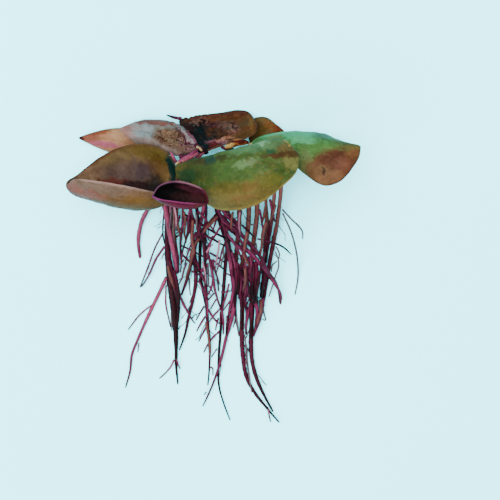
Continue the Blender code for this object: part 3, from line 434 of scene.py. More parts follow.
# Roots, from the lowest laid to the topmost. Each has the height it sets out from, then its course as
# (across, up, radius) from there to its tip. It sinks to the surface, or lies over the roots laid before it.
ROOTS = {
    "root_left_main": (6.4, [(-7.0, 18.4, 0.36), (-8.0, 13.8, 0.42), (-8.4, 8.8, 0.44), (-8.2, 3.6, 0.48),
        (-7.8, -0.4, 0.55), (-7.3, -3.6, 0.62), (-7.0, -7.0, 0.48), (-6.8, -10.8, 0.34),
        (-6.8, -15.0, 0.20), (-6.5, -18.5, 0.10)]),
    "root_left_outer": (5.8, [(-7.8, 18.2, 0.26), (-10.0, 15.8, 0.32), (-12.0, 12.7, 0.33),
        (-13.1, 10.4, 0.32), (-13.6, 7.6, 0.28), (-13.3, 4.3, 0.20)]),
    "root_left_brown": (7.6, [(-4.3, 18.9, 0.28), (-6.6, 14.4, 0.34), (-7.2, 11.0, 0.34), (-7.2, 7.6, 0.26)]),
    "root_centre_dark": (7.8, [(-3.2, 18.8, 0.20), (-3.1, 12.8, 0.24), (-2.4, 9.0, 0.24), (-2.5, 5.4, 0.23),
        (-2.5, 1.8, 0.20), (-2.0, -1.8, 0.18), (-1.4, -4.8, 0.12)]),
    "root_centre_maroon": (7.8, [(-4.0, 18.8, 0.22), (-4.2, 12.8, 0.26), (-3.9, 7.8, 0.28),
        (-3.3, 2.4, 0.30), (-3.4, -1.6, 0.28), (-4.3, -5.2, 0.24), (-5.0, -8.8, 0.18),
        (-6.2, -12.4, 0.09)]),
    "root_centre_left": (7.8, [(-1.8, 18.7, 0.20), (-1.4, 12.8, 0.22), (-1.6, 8.6, 0.22), (-1.6, 2.2, 0.24),
        (-1.4, -2.2, 0.25), (-1.2, -6.6, 0.24), (-0.8, -11.4, 0.20), (-0.8, -15.0, 0.13),
        (-1.1, -18.7, 0.08)]),
    "root_centre_black": (7.8, [(0.2, 18.6, 0.28), (0.5, 12.8, 0.31), (1.5, 9.4, 0.31), (2.3, 7.0, 0.30),
        (2.1, 3.4, 0.27), (1.7, -1.6, 0.25), (1.4, -5.4, 0.23), (1.1, -10.4, 0.20), (0.8, -14.8, 0.16),
        (0.9, -18.8, 0.13), (1.9, -22.4, 0.10), (2.9, -25.0, 0.07)]),
    "root_right_brown": (7.8, [(4.3, 18.6, 0.34), (4.6, 12.6, 0.36), (4.4, 8.4, 0.36), (3.9, 3.2, 0.32),
        (4.1, -0.6, 0.28), (3.8, -4.4, 0.20), (4.5, -9.8, 0.10)]),
    "root_right_long": (7.8, [(7.4, 18.8, 0.32), (7.8, 13.2, 0.36), (7.4, 8.8, 0.36), (6.8, 4.4, 0.34),
        (6.9, -0.6, 0.34), (6.8, -6.8, 0.36), (6.7, -11.4, 0.36), (7.1, -15.6, 0.32), (8.5, -19.4, 0.24),
        (10.6, -23.4, 0.12)]),
    "root_right_dark": (7.8, [(9.2, 19.0, 0.20), (9.4, 13.4, 0.24), (9.6, 9.2, 0.40), (9.2, 4.8, 0.34),
        (8.9, 0.8, 0.26), (8.7, -3.4, 0.14)]),
    "root_far_right": (7.8, [(12.3, 19.0, 0.28), (11.8, 13.6, 0.30), (11.2, 9.4, 0.32), (10.3, 4.8, 0.32),
        (9.6, 0.6, 0.26), (9.0, -3.6, 0.18), (8.5, -6.2, 0.10)]),
    "root_far_right_twin": (7.8, [(11.2, 19.1, 0.26), (10.7, 13.6, 0.28), (10.3, 10.2, 0.28),
        (9.8, 7.0, 0.22), (9.4, 3.4, 0.14)]),
    "root_centre_thick": (7.8, [(2.0, 18.6, 0.28), (2.0, 12.8, 0.30), (2.3, 8.2, 0.34), (3.0, 3.8, 0.42),
        (3.5, 0.0, 0.42), (3.6, -4.6, 0.34), (2.9, -8.0, 0.27), (1.9, -11.2, 0.24), (1.2, -14.6, 0.20),
        (0.2, -17.4, 0.16), (-0.9, -20.2, 0.12), (-2.0, -22.5, 0.08)]),
    "root_right_brown_long": (7.8, [(6.0, 18.7, 0.34), (6.3, 12.8, 0.36), (6.0, 8.4, 0.36),
        (5.2, 4.2, 0.32), (5.0, -0.8, 0.34), (5.1, -5.0, 0.36), (5.0, -10.4, 0.36), (5.3, -14.2, 0.34),
        (6.3, -18.4, 0.28), (8.7, -21.8, 0.20), (11.7, -25.4, 0.10)]),
    "root_left_pink": (6.8, [(-6.1, 18.8, 0.38), (-7.7, 13.6, 0.46), (-7.9, 9.4, 0.50), (-7.3, 6.6, 0.54),
        (-6.8, 4.0, 0.52), (-6.6, 1.6, 0.34)]),
    "root_left_thin": (8.0, [(-5.0, 18.9, 0.15), (-5.6, 12.8, 0.17), (-5.7, 8.8, 0.17), (-6.1, 5.8, 0.15),
        (-5.9, 3.9, 0.10)]),
    "root_centre_slant": (8.2, [(-2.6, 18.8, 0.15), (-4.0, 12.2, 0.17), (-2.7, 9.2, 0.17),
        (-1.0, 5.0, 0.17), (-0.3, 1.4, 0.17), (0.1, -1.2, 0.16), (0.9, -4.0, 0.14), (1.4, -5.4, 0.09)]),
    "root_brown_slant": (8.2, [(-1.0, 18.7, 0.22), (-2.0, 12.4, 0.26), (-3.2, 7.0, 0.27), (-4.0, 3.6, 0.26),
        (-4.7, 0.8, 0.24), (-5.8, -2.4, 0.14)]),
    "root_slant_purple": (8.2, [(1.1, 18.6, 0.22), (0.9, 12.4, 0.25), (3.1, 10.0, 0.26), (5.4, 7.8, 0.26),
        (7.7, 5.4, 0.25), (9.2, 2.6, 0.22), (10.6, 0.6, 0.20), (11.9, -2.4, 0.14), (11.9, -4.0, 0.09)]),
    "root_slant_black": (8.4, [(-5.6, 12.2, 0.12), (-3.6, 10.9, 0.14), (-1.0, 9.7, 0.14), (1.4, 7.8, 0.14),
        (4.2, 6.8, 0.13), (6.4, 5.4, 0.09)]),
    "root_slant_low": (4.2, [(-5.8, 6.4, 0.11), (-4.0, 5.5, 0.12), (-1.7, 4.3, 0.12), (0.6, 3.2, 0.11),
        (2.2, 1.6, 0.08)]),
    "root_purple_left": (5.4, [(-4.2, 13.4, 0.12), (-4.5, 12.0, 0.14), (-4.8, 8.4, 0.14), (-5.6, 5.4, 0.12),
        (-6.0, 1.6, 0.08)]),
    "root_purple_centre": (7.0, [(-2.2, 9.4, 0.10), (-1.2, 5.0, 0.12), (0.4, 1.4, 0.12), (0.9, -1.8, 0.08)]),
    "root_right_pink": (2.6, [(4.9, -0.8, 0.20), (6.6, -2.8, 0.26), (7.7, -4.8, 0.26), (7.6, -7.4, 0.20),
        (7.3, -9.4, 0.12)]),
    "root_right_light": (6.0, [(4.9, 7.0, 0.12), (5.6, 4.4, 0.15), (6.5, 2.2, 0.14), (7.8, -2.0, 0.09)]),
    "root_left_side_upper": (4.6, [(-9.2, 8.6, 0.12), (-10.4, 6.4, 0.13), (-11.9, 2.4, 0.12),
        (-13.3, -1.1, 0.07)]),
    "root_left_side_lower": (4.2, [(-8.9, 6.2, 0.16), (-10.4, 4.0, 0.17), (-11.7, 1.1, 0.14),
        (-13.0, -1.0, 0.08)]),
    "root_left_long": (1.2, [(-8.6, 0.6, 0.26), (-9.8, -2.0, 0.27), (-12.0, -6.6, 0.24),
        (-13.4, -9.8, 0.21), (-14.9, -13.8, 0.18), (-15.2, -16.9, 0.14), (-15.9, -19.1, 0.08)]),
    "root_left_long_side": (0.8, [(-11.3, -4.4, 0.10), (-13.2, -5.9, 0.12), (-15.4, -8.7, 0.07)]),
    "root_left_fork": (0.5, [(-7.2, -14.2, 0.12), (-7.9, -15.6, 0.12), (-9.8, -17.5, 0.07)]),
    "root_left_twig": (1.2, [(-6.5, -0.8, 0.13), (-5.6, -4.0, 0.14), (-3.6, -7.4, 0.08)]),
    "root_left_purple": (1.2, [(-8.6, -0.8, 0.10), (-8.7, -3.6, 0.12), (-7.8, -8.2, 0.08)]),
    "root_right_fork": (0.6, [(9.8, -23.0, 0.12), (9.9, -24.0, 0.11), (10.2, -25.3, 0.07)]),
    "root_right_curl": (7.0, [(12.3, 12.9, 0.10), (14.2, 10.9, 0.11), (15.9, 9.0, 0.11), (16.0, 7.6, 0.08)]),
    "root_right_curl_long": (7.0, [(12.4, 12.2, 0.11), (13.9, 8.8, 0.12), (15.0, 4.2, 0.12),
        (15.1, 0.4, 0.11), (14.6, -2.4, 0.07)]),
    "root_right_sprig": (5.4, [(7.9, 7.6, 0.12), (10.2, 7.0, 0.13), (12.4, 6.2, 0.12), (13.9, 4.8, 0.07)]),
    "root_right_side": (4.2, [(11.1, 5.2, 0.10), (11.7, 3.4, 0.11), (11.0, 0.6, 0.10), (9.9, -2.8, 0.07)]),
}

# Side roots by their look, each as its course in (across, up, radius). One sets out at the height of the root
# that it grows from.
SIDE_ROOTS = {
    "purple": [
        [(-7.6, 2.9, 0.16), (-7.2, 1.1, 0.16), (-6.5, -1.6, 0.16), (-6.0, -2.9, 0.16), (-5.4, -4.1, 0.15),
         (-4.4, -6.1, 0.13), (-3.9, -7.0, 0.11), (-3.4, -7.6, 0.09)],
        [(-4.0, 1.8, 0.12), (-3.3, 1.3, 0.12), (-3.3, 0.0, 0.07)],
        [(-2.2, 1.4, 0.14), (-1.9, 0.4, 0.14), (-1.5, -0.7, 0.08)],
        [(-2.0, 2.4, 0.13), (-1.6, 1.3, 0.13), (-1.4, -0.4, 0.07)],
        [(-1.1, -0.8, 0.10), (-0.8, -1.0, 0.10), (-0.2, -2.0, 0.06)],
        [(-0.5, 3.4, 0.15), (-0.2, 1.1, 0.15), (0.0, -1.3, 0.08)],
        [(8.9, -3.2, 0.30), (8.6, -5.2, 0.30), (8.2, -6.8, 0.30), (7.6, -8.6, 0.23), (7.1, -9.9, 0.17)],
        [(9.2, 1.7, 0.22), (10.5, 0.2, 0.22), (11.4, -1.1, 0.22), (12.1, -2.8, 0.17), (12.0, -4.1, 0.12)],
        [(5.3, -1.4, 0.24), (5.6, -3.4, 0.24), (5.9, -5.6, 0.20), (5.8, -7.4, 0.13)],
        [(6.6, -4.0, 0.22), (6.2, -5.8, 0.22), (5.8, -7.9, 0.19), (5.8, -9.5, 0.12)],
        [(5.0, -1.4, 0.34), (5.9, -2.1, 0.34), (7.0, -3.2, 0.34), (7.7, -4.5, 0.31), (7.8, -6.1, 0.25),
         (7.7, -7.9, 0.19)],
        [(4.3, 2.9, 0.26), (4.8, 1.1, 0.26), (5.1, -0.9, 0.22), (5.2, -2.7, 0.14)],
        [(5.4, 2.9, 0.22), (5.3, 0.9, 0.22), (4.7, -1.3, 0.19), (4.5, -3.1, 0.12)],
        [(4.0, 2.3, 0.18), (4.7, 0.9, 0.18), (5.8, -0.2, 0.18), (6.8, -2.0, 0.14), (7.5, -3.6, 0.10)],
        [(6.1, 2.7, 0.24), (6.4, 0.9, 0.24), (6.8, -1.1, 0.20), (7.0, -3.2, 0.13)],
        [(6.8, 2.3, 0.17), (6.3, 0.7, 0.17), (5.8, -1.1, 0.14), (5.5, -3.1, 0.09)],
        [(3.2, 2.0, 0.26), (3.6, -0.4, 0.26), (3.3, -2.9, 0.26), (2.8, -5.2, 0.20), (2.5, -7.4, 0.14)],
        [(0.8, -6.7, 0.12), (0.5, -7.7, 0.12), (0.3, -8.8, 0.07)],
        [(-0.2, -6.6, 0.11), (0.4, -7.1, 0.11), (1.0, -7.7, 0.06)],
        [(1.8, -3.6, 0.17), (1.5, -5.0, 0.17), (1.7, -7.2, 0.14), (1.7, -9.5, 0.09)],
        [(4.0, -6.3, 0.11), (3.8, -7.2, 0.11), (3.5, -8.3, 0.06)],
        [(-6.1, 11.9, 0.14), (-6.5, 10.4, 0.14), (-6.7, 9.1, 0.08)],
        [(-4.7, 11.5, 0.15), (-5.4, 10.3, 0.15), (-5.9, 9.5, 0.13), (-6.7, 8.6, 0.08)],
        [(-4.9, 3.3, 0.13), (-5.4, 2.0, 0.13), (-5.8, 0.4, 0.11), (-6.4, -0.7, 0.07)],
        [(-6.8, 7.9, 0.13), (-5.9, 8.6, 0.07)],
        [(-7.0, -13.1, 0.10), (-6.5, -14.8, 0.10), (-6.1, -15.8, 0.06)],
        [(-0.9, -15.5, 0.10), (-0.4, -15.5, 0.10), (-0.2, -16.9, 0.06)],
        [(-1.4, -20.0, 0.08), (-1.8, -20.5, 0.04)],
        [(-2.9, 12.6, 0.15), (-1.8, 11.5, 0.15), (-1.0, 10.4, 0.13), (0.4, 8.6, 0.08)],
        [(0.7, 11.7, 0.12), (0.2, 10.3, 0.12), (-0.2, 9.0, 0.07)],
        [(1.2, 9.9, 0.14), (0.5, 8.7, 0.14), (-0.2, 7.6, 0.14), (-0.9, 6.7, 0.11), (-1.3, 5.9, 0.08)],
        [(-0.9, 4.6, 0.17), (-0.6, 2.9, 0.17), (-0.3, 1.4, 0.17), (-0.0, -0.3, 0.17), (0.2, -1.6, 0.16),
         (0.5, -2.7, 0.14), (0.9, -4.1, 0.12), (1.3, -5.2, 0.09)],
        [(-0.3, 3.8, 0.15), (0.0, 2.5, 0.15), (0.4, 1.3, 0.13), (1.0, -0.5, 0.08)],
        [(-3.4, 4.1, 0.14), (-2.9, 3.1, 0.14), (-2.7, 2.3, 0.12), (-2.6, 1.1, 0.08)],
        [(-1.1, 3.0, 0.20), (-2.0, 2.2, 0.20), (-2.8, 1.2, 0.11)],
        [(-0.7, 5.1, 0.14), (0.2, 4.6, 0.14), (1.3, 3.8, 0.12), (1.8, 3.4, 0.08)],
        [(-0.2, 3.9, 0.11), (0.4, 3.3, 0.11), (1.3, 2.4, 0.06)],
        [(-0.9, -5.2, 0.13), (-0.2, -6.5, 0.13), (0.7, -7.6, 0.07)],
        [(0.4, -3.3, 0.14), (-0.6, -5.0, 0.08)],
        [(0.0, -2.2, 0.13), (-1.0, -3.4, 0.07)],
        [(-1.8, -4.5, 0.14), (-3.2, -7.0, 0.08)],
        [(-1.6, -6.4, 0.14), (-2.4, -7.7, 0.14), (-3.1, -9.0, 0.08)],
        [(-1.3, -8.0, 0.13), (-2.0, -9.4, 0.13), (-2.7, -10.8, 0.07)],
        [(1.0, -9.0, 0.14), (-0.3, -10.3, 0.14), (-1.1, -11.4, 0.12), (-1.8, -12.8, 0.08)],
        [(0.5, -12.2, 0.11), (-0.4, -13.6, 0.06)],
        [(1.2, -4.9, 0.13), (-0.2, -6.4, 0.13), (-0.8, -7.3, 0.07)],
        [(2.9, -3.6, 0.13), (1.7, -5.3, 0.07)],
        [(2.2, 1.4, 0.11), (2.8, 1.1, 0.11), (3.2, 0.6, 0.06)],
        [(1.3, -2.0, 0.11), (1.8, -2.0, 0.11), (3.1, -1.7, 0.06)],
        [(1.4, 12.9, 0.22), (2.3, 11.9, 0.22), (3.1, 10.9, 0.22), (3.9, 10.1, 0.22), (4.9, 8.7, 0.19),
         (5.9, 7.1, 0.15), (6.6, 6.2, 0.12)],
        [(1.4, 10.9, 0.20), (2.5, 10.0, 0.20), (3.8, 8.5, 0.20), (4.9, 7.2, 0.16), (5.8, 6.0, 0.11)],
        [(2.4, 12.9, 0.16), (3.1, 11.6, 0.16), (3.9, 10.8, 0.14), (4.6, 9.7, 0.09)],
        [(4.0, 6.2, 0.30), (5.6, 5.8, 0.30), (6.7, 4.9, 0.30), (7.7, 3.9, 0.30), (8.5, 2.8, 0.26),
         (9.4, 1.7, 0.21), (10.1, 0.5, 0.17)],
        [(6.1, 5.7, 0.16), (7.2, 5.0, 0.16), (8.3, 4.8, 0.09)],
        [(4.8, 6.0, 0.14), (5.9, 4.1, 0.14), (6.4, 2.7, 0.12), (6.7, 1.9, 0.08)],
        [(3.1, 7.7, 0.18), (4.1, 6.5, 0.18), (5.2, 5.3, 0.18), (6.1, 4.1, 0.14), (6.8, 2.7, 0.10)],
        [(2.2, 8.8, 0.17), (3.2, 7.4, 0.17), (4.3, 5.6, 0.14), (5.0, 4.0, 0.09)],
        [(8.2, 12.9, 0.15), (8.5, 11.5, 0.15), (8.7, 10.1, 0.13), (8.9, 8.5, 0.08)],
        [(10.1, 14.7, 0.18), (10.4, 13.1, 0.18), (10.7, 11.8, 0.15), (11.0, 10.7, 0.10)],
        [(6.5, 4.4, 0.16), (6.7, 2.9, 0.16), (6.3, 1.1, 0.09)],
        [(6.8, 1.1, 0.13), (7.3, -0.5, 0.13), (7.9, -2.0, 0.07)],
        [(2.3, 6.3, 0.18), (2.9, 4.5, 0.18), (3.2, 2.7, 0.15), (3.4, 0.9, 0.10)],
        [(3.1, 5.6, 0.17), (3.7, 3.4, 0.17), (4.0, 1.3, 0.14), (3.9, -0.9, 0.09)],
        [(4.0, 3.4, 0.15), (4.7, 1.6, 0.15), (4.9, -0.5, 0.13), (4.7, -2.7, 0.08)],
        [(5.6, 3.4, 0.15), (6.0, 1.3, 0.15), (6.1, -0.9, 0.13), (5.8, -3.4, 0.08)],
        [(2.2, 7.4, 0.14), (1.4, 5.2, 0.14), (1.0, 3.4, 0.12), (0.4, 1.4, 0.08)],
        [(2.7, -0.5, 0.14), (2.2, -2.7, 0.14), (1.4, -5.0, 0.08)],
        [(-0.2, 8.1, 0.14), (-0.8, 6.3, 0.14), (-1.2, 4.5, 0.14), (-1.9, 2.3, 0.11), (-2.8, -0.2, 0.08)],
        [(-3.2, 8.8, 0.14), (-4.0, 6.8, 0.14), (-4.7, 5.0, 0.12), (-5.2, 3.2, 0.08)],
        [(-1.7, -0.9, 0.14), (-1.3, -2.9, 0.14), (-1.1, -5.0, 0.12), (-1.3, -7.0, 0.08)],
        [(-2.7, 0.0, 0.12), (-2.0, -1.6, 0.12), (-1.3, -3.4, 0.07)],
        [(-0.1, 0.9, 0.13), (-0.5, -1.3, 0.13), (-1.5, -3.2, 0.07)],
    ],
    "dark": [
        [(-8.0, 3.8, 0.36), (-7.5, 1.1, 0.36), (-6.9, -1.3, 0.36), (-6.5, -3.2, 0.33), (-6.4, -5.6, 0.26),
         (-6.6, -7.9, 0.20)],
        [(-7.1, 2.0, 0.24), (-6.7, -0.2, 0.24), (-6.3, -2.3, 0.20), (-6.3, -4.1, 0.13)],
        [(-3.5, 3.1, 0.14), (-2.8, 1.8, 0.14), (-2.4, 1.5, 0.08)],
        [(7.5, 3.4, 0.34), (7.7, 2.0, 0.34), (7.6, 0.2, 0.34), (7.4, -2.0, 0.26), (7.2, -4.0, 0.19)],
        [(9.0, 2.3, 0.34), (9.1, 0.9, 0.34), (8.7, -0.9, 0.29), (8.5, -2.9, 0.19)],
        [(4.7, -1.8, 0.22), (4.9, -4.1, 0.22), (5.0, -6.5, 0.19), (5.0, -8.8, 0.12)],
        [(6.8, -3.4, 0.32), (6.8, -5.6, 0.32), (6.7, -7.9, 0.27), (6.7, -10.3, 0.18)],
        [(4.1, 3.4, 0.20), (4.4, 1.6, 0.20), (4.5, -0.4, 0.17), (4.3, -2.3, 0.11)],
        [(5.9, 2.3, 0.18), (6.0, 0.2, 0.18), (6.4, -1.8, 0.15), (6.6, -3.8, 0.10)],
        [(8.1, 1.6, 0.22), (8.0, -0.4, 0.22), (7.7, -2.2, 0.19), (7.9, -4.1, 0.12)],
        [(2.5, -6.3, 0.20), (2.4, -7.7, 0.20), (2.2, -9.7, 0.11)],
        [(1.2, -5.6, 0.15), (1.2, -7.6, 0.15), (1.2, -9.7, 0.08)],
        [(6.4, -3.1, 0.09), (6.0, -4.1, 0.09), (5.8, -5.1, 0.05)],
        [(-5.8, 4.9, 0.16), (-4.7, 3.8, 0.16), (-3.7, 3.1, 0.16), (-2.9, 2.0, 0.12), (-2.6, 1.6, 0.09)],
        [(-2.0, 8.3, 0.15), (-0.7, 7.8, 0.15), (0.1, 7.4, 0.15), (1.1, 6.8, 0.12), (2.1, 6.3, 0.08)],
        [(-1.9, 7.9, 0.17), (-1.8, 5.4, 0.17), (-1.7, 3.8, 0.17), (-1.6, 2.3, 0.13), (-1.8, 0.5, 0.09)],
        [(5.0, 10.1, 0.12), (5.6, 9.6, 0.12), (6.7, 8.5, 0.10), (7.2, 7.9, 0.07)],
        [(6.3, 8.9, 0.10), (6.8, 8.4, 0.06)],
        [(-0.9, 10.6, 0.14), (-2.0, 9.4, 0.14), (-2.6, 8.1, 0.08)],
        [(8.7, 6.2, 0.18), (8.2, 5.2, 0.10)],
        [(-8.9, 12.9, 0.11), (-9.0, 11.9, 0.11), (-9.2, 9.7, 0.11), (-9.1, 7.7, 0.09), (-8.9, 6.7, 0.06)],
        [(1.7, 10.1, 0.14), (2.5, 9.5, 0.14), (3.3, 8.8, 0.12), (3.9, 8.5, 0.08)],
        [(2.3, 12.9, 0.14), (2.8, 12.2, 0.14), (3.2, 11.3, 0.12), (3.8, 10.4, 0.08)],
        [(4.2, 3.3, 0.16), (5.0, 2.2, 0.16), (5.4, 1.1, 0.09)],
        [(5.5, -11.6, 0.11), (6.0, -12.1, 0.11), (6.5, -12.9, 0.06)],
        [(3.9, 2.2, 0.20), (4.1, -0.5, 0.20), (3.8, -2.7, 0.17), (3.7, -4.7, 0.11)],
        [(1.4, 10.6, 0.16), (2.1, 8.8, 0.16), (2.6, 6.8, 0.14), (3.1, 5.2, 0.09)],
        [(7.0, 3.4, 0.16), (7.2, 1.3, 0.16), (6.9, -1.3, 0.14), (7.0, -3.4, 0.09)],
        [(9.2, 5.2, 0.17), (8.6, 3.4, 0.17), (8.3, 1.3, 0.14), (7.7, -0.9, 0.09)],
        [(-4.2, 11.7, 0.13), (-4.3, 9.5, 0.13), (-5.0, 7.4, 0.11), (-5.8, 5.2, 0.07)],
        [(-2.9, 9.9, 0.15), (-2.2, 7.7, 0.15), (-1.3, 5.8, 0.08)],
    ],
    "rust": [
        [(-1.8, 8.9, 0.22), (-0.9, 10.2, 0.22), (-0.4, 11.0, 0.19), (0.3, 12.0, 0.12)],
        [(0.6, 11.7, 0.16), (-0.4, 10.4, 0.16), (-1.3, 9.4, 0.09)],
        [(-2.6, 7.7, 0.24), (-3.5, 6.5, 0.24), (-4.0, 5.2, 0.24), (-4.2, 3.4, 0.22), (-4.7, 1.1, 0.18),
         (-5.4, -1.1, 0.13)],
        [(-8.4, 14.0, 0.26), (-7.7, 11.3, 0.26), (-7.1, 8.3, 0.22), (-6.7, 5.6, 0.14)],
        [(-6.5, 13.5, 0.20), (-6.7, 11.3, 0.20), (-6.3, 9.2, 0.17), (-5.9, 7.4, 0.11)],
        [(-1.4, -7.4, 0.20), (-1.0, -9.7, 0.20), (-0.7, -12.4, 0.17), (-0.8, -14.4, 0.11)],
        [(9.4, 13.7, 0.20), (9.1, 12.1, 0.20), (8.6, 10.3, 0.11)],
        [(-8.3, 2.7, 0.22), (-7.7, 0.4, 0.22), (-7.0, -1.6, 0.12)],
        [(5.6, 2.3, 0.22), (5.7, 0.2, 0.22), (5.2, -2.0, 0.12)],
        [(8.4, -3.4, 0.24), (8.5, -5.2, 0.24), (8.0, -6.7, 0.20), (7.7, -8.3, 0.13)],
        [(11.1, 13.7, 0.18), (10.9, 13.0, 0.18), (10.4, 11.6, 0.15), (9.9, 10.4, 0.10)],
        [(10.3, 14.4, 0.12), (10.9, 13.4, 0.07)],
        [(-3.8, 11.0, 0.24), (-3.9, 8.7, 0.24), (-4.0, 7.9, 0.24), (-3.8, 6.7, 0.24), (-3.6, 5.4, 0.24),
         (-4.0, 4.1, 0.21), (-4.4, 2.5, 0.19), (-4.8, 1.3, 0.16), (-5.0, -0.5, 0.13)],
        [(10.4, 11.8, 0.12), (10.0, 10.5, 0.07)],
        [(4.9, 5.8, 0.16), (5.3, 4.9, 0.16), (5.8, 3.8, 0.14), (6.6, 2.3, 0.09)],
        [(-7.1, 13.0, 0.22), (-7.1, 11.0, 0.22), (-7.2, 8.8, 0.19), (-6.9, 6.7, 0.12)],
        [(-5.4, 12.4, 0.16), (-5.1, 10.6, 0.16), (-5.3, 8.8, 0.14), (-5.0, 7.0, 0.09)],
        [(9.4, 10.6, 0.24), (8.8, 8.5, 0.24), (8.6, 6.3, 0.20), (8.2, 4.1, 0.13)],
        [(6.0, 8.8, 0.22), (5.6, 6.8, 0.22), (5.4, 4.9, 0.12)],
        [(3.4, 12.4, 0.15), (3.1, 10.6, 0.15), (3.2, 8.8, 0.08)],
    ],
    # Partly pale young roots, partly painted highlight: pale lilac strands where light catches among the roots
    "lilac": [
        [(1.0, 7.4, 0.14), (0.8, 5.6, 0.14), (0.5, 3.8, 0.12), (0.3, 2.3, 0.08)],
        [(-1.3, 5.2, 0.12), (-0.8, 6.0, 0.12), (-0.2, 6.6, 0.07)],
        [(-7.9, 13.5, 0.16), (-7.8, 11.7, 0.16), (-7.6, 9.9, 0.09)],
        [(-7.2, 13.5, 0.14), (-6.8, 11.7, 0.14), (-6.8, 9.5, 0.08)],
        [(4.7, 12.4, 0.13), (4.5, 10.3, 0.13), (4.8, 8.1, 0.07)],
        [(-2.0, 3.4, 0.11), (-1.6, 1.6, 0.11), (-1.4, -0.5, 0.06)],
    ],
    "rose": [
        [(-8.9, 14.0, 0.42), (-8.5, 11.9, 0.42), (-8.0, 9.2, 0.42), (-7.5, 6.5, 0.38), (-7.0, 4.1, 0.31),
         (-6.7, 2.0, 0.23)],
    ],
    "pale": [
        [(5.8, -11.5, 0.12), (6.0, -14.2, 0.12), (6.4, -17.5, 0.10), (6.8, -20.0, 0.07)],
        [(5.5, -9.7, 0.10), (5.8, -11.7, 0.10), (5.7, -13.5, 0.06)],
        [(-4.4, 0.5, 0.09), (-4.4, -1.1, 0.09), (-4.2, -2.6, 0.05)],
        [(-1.1, 3.2, 0.13), (-1.0, 1.1, 0.13), (-1.0, -0.8, 0.07)],
        [(-7.6, -5.6, 0.13), (-7.6, -7.2, 0.13), (-7.6, -8.8, 0.07)],
        [(-4.0, -2.9, 0.08), (-4.4, -3.9, 0.04)],
        [(8.9, -5.0, 0.09), (9.1, -6.1, 0.09), (9.3, -7.1, 0.08), (8.7, -6.8, 0.05)],
        [(10.6, 3.1, 0.09), (10.3, 1.8, 0.05)],
        [(4.0, -6.3, 0.12), (4.2, -7.7, 0.12), (4.5, -9.7, 0.07)],
        [(-9.0, 5.0, 0.10), (-9.4, 4.0, 0.06)],
        [(-11.7, 1.6, 0.09), (-11.9, 0.9, 0.05)],
        [(-13.5, -11.2, 0.10), (-13.7, -12.8, 0.06)],
        [(1.7, 5.9, 0.12), (1.7, 4.3, 0.12), (1.4, 3.5, 0.10), (1.3, 2.5, 0.07)],
        [(6.5, 10.2, 0.10), (7.2, 10.1, 0.10), (8.0, 9.7, 0.06)],
        [(6.3, -8.9, 0.11), (5.7, -10.5, 0.06)],
        [(6.0, -12.2, 0.11), (5.7, -15.5, 0.06)],
        [(4.1, -7.0, 0.11), (4.5, -9.9, 0.06)],
        [(11.2, 6.2, 0.10), (11.8, 4.8, 0.10), (11.7, 4.1, 0.06)],
        [(11.3, 3.6, 0.10), (10.6, 2.9, 0.10), (10.3, 2.3, 0.09), (10.4, 1.7, 0.06)],
        [(7.6, 6.8, 0.11), (7.7, 5.4, 0.06)],
        [(-5.4, 3.9, 0.09), (-5.9, 3.1, 0.05)],
        [(-3.2, 12.2, 0.13), (-3.1, 10.6, 0.13), (-3.2, 9.2, 0.07)],
        [(-7.6, 13.0, 0.13), (-7.8, 11.2, 0.13), (-8.0, 9.4, 0.07)],
    ],
}

# Skins of the roots that aren't pink, and the roots that carry fine rootlets
ROOT_LOOKS = {
    "root_left_pink": "rose",
    "root_left_outer": "rose",
    "root_centre_maroon": "maroon",
    "root_centre_left": "maroon",
    "root_left_brown": "brown",
    "root_right_brown": "brown",
    "root_right_brown_long": "brown",
    "root_right_long": "brown",
    "root_far_right": "brown",
    "root_far_right_twin": "brown",
    "root_centre_dark": "dark",
    "root_centre_black": "dark",
    "root_slant_black": "dark",
    "root_right_dark": "brown",
    "root_left_main": "dark",
    "root_slant_low": "dark",
    "root_purple_left": "purple",
    "root_purple_centre": "purple",
    "root_slant_purple": "purple",
    "root_right_sprig": "dark",
    "root_right_curl": "pale",
    "root_right_curl_long": "pale",
    "root_right_side": "pale",
    "root_right_light": "pale",
    "root_left_side_upper": "purple",
    "root_left_side_lower": "purple",
}
ROOTLET_ROOTS = (
    "root_left_main", "root_centre_maroon", "root_centre_left", "root_centre_thick", "root_right_brown",
    "root_right_long", "root_far_right", "root_left_pink", "root_brown_slant", "root_slant_purple",
)

# How roots lie, as in the solids: gap, climb, sink, and the length of a straight piece
ROOT_GAP = 0.25
ROOT_CLIMB = 0.35
ROOT_SINK = 1.8
ROOT_PIECE = 3.2
ROOT_SHORT_PIECE = 1.4
ROOT_TRY = 0.2
SIDE_GAP = 0.04
SIDE_PIECE = 0.7
SIDE_FREE = 1.2
ROOT_FULLNESS = 1.18
ROOT_SKIN = 0.035


# --- shape helpers


def on_sight_line(spots):
    """The places in metres of spots (across, up, height), one a row."""
    across, up, height = np.asarray(spots, float)[:, :3].T
    stem = np.array([0.0, 0.0, STEM_HEIGHT])
    drawn = stem + np.outer(across, [1.0, 0.0, 0.0]) + np.outer(up, DRAWN_UP)
    share = (EYE[2] - height) / (EYE[2] - drawn[:, 2])
    places = EYE + share[:, None] * (drawn - EYE)
    places[:, 0] -= BOX_MIDDLE[0]
    places[:, 1] -= BOX_MIDDLE[1]
    return places * MM


def as_drawn(places):
    """Where places in millimetres are seen on the line of sight, as (across, up, 0)."""
    ray = places + [BOX_MIDDLE[0], BOX_MIDDLE[1], 0.0] - EYE
    stem = np.array([0.0, 0.0, STEM_HEIGHT])
    reach = ((stem - EYE) @ TO_EYE) / (ray @ TO_EYE)
    hit = EYE + ray * reach[:, None] - stem
    return np.column_stack([hit[:, 0], hit @ DRAWN_UP, np.zeros(len(hit))])


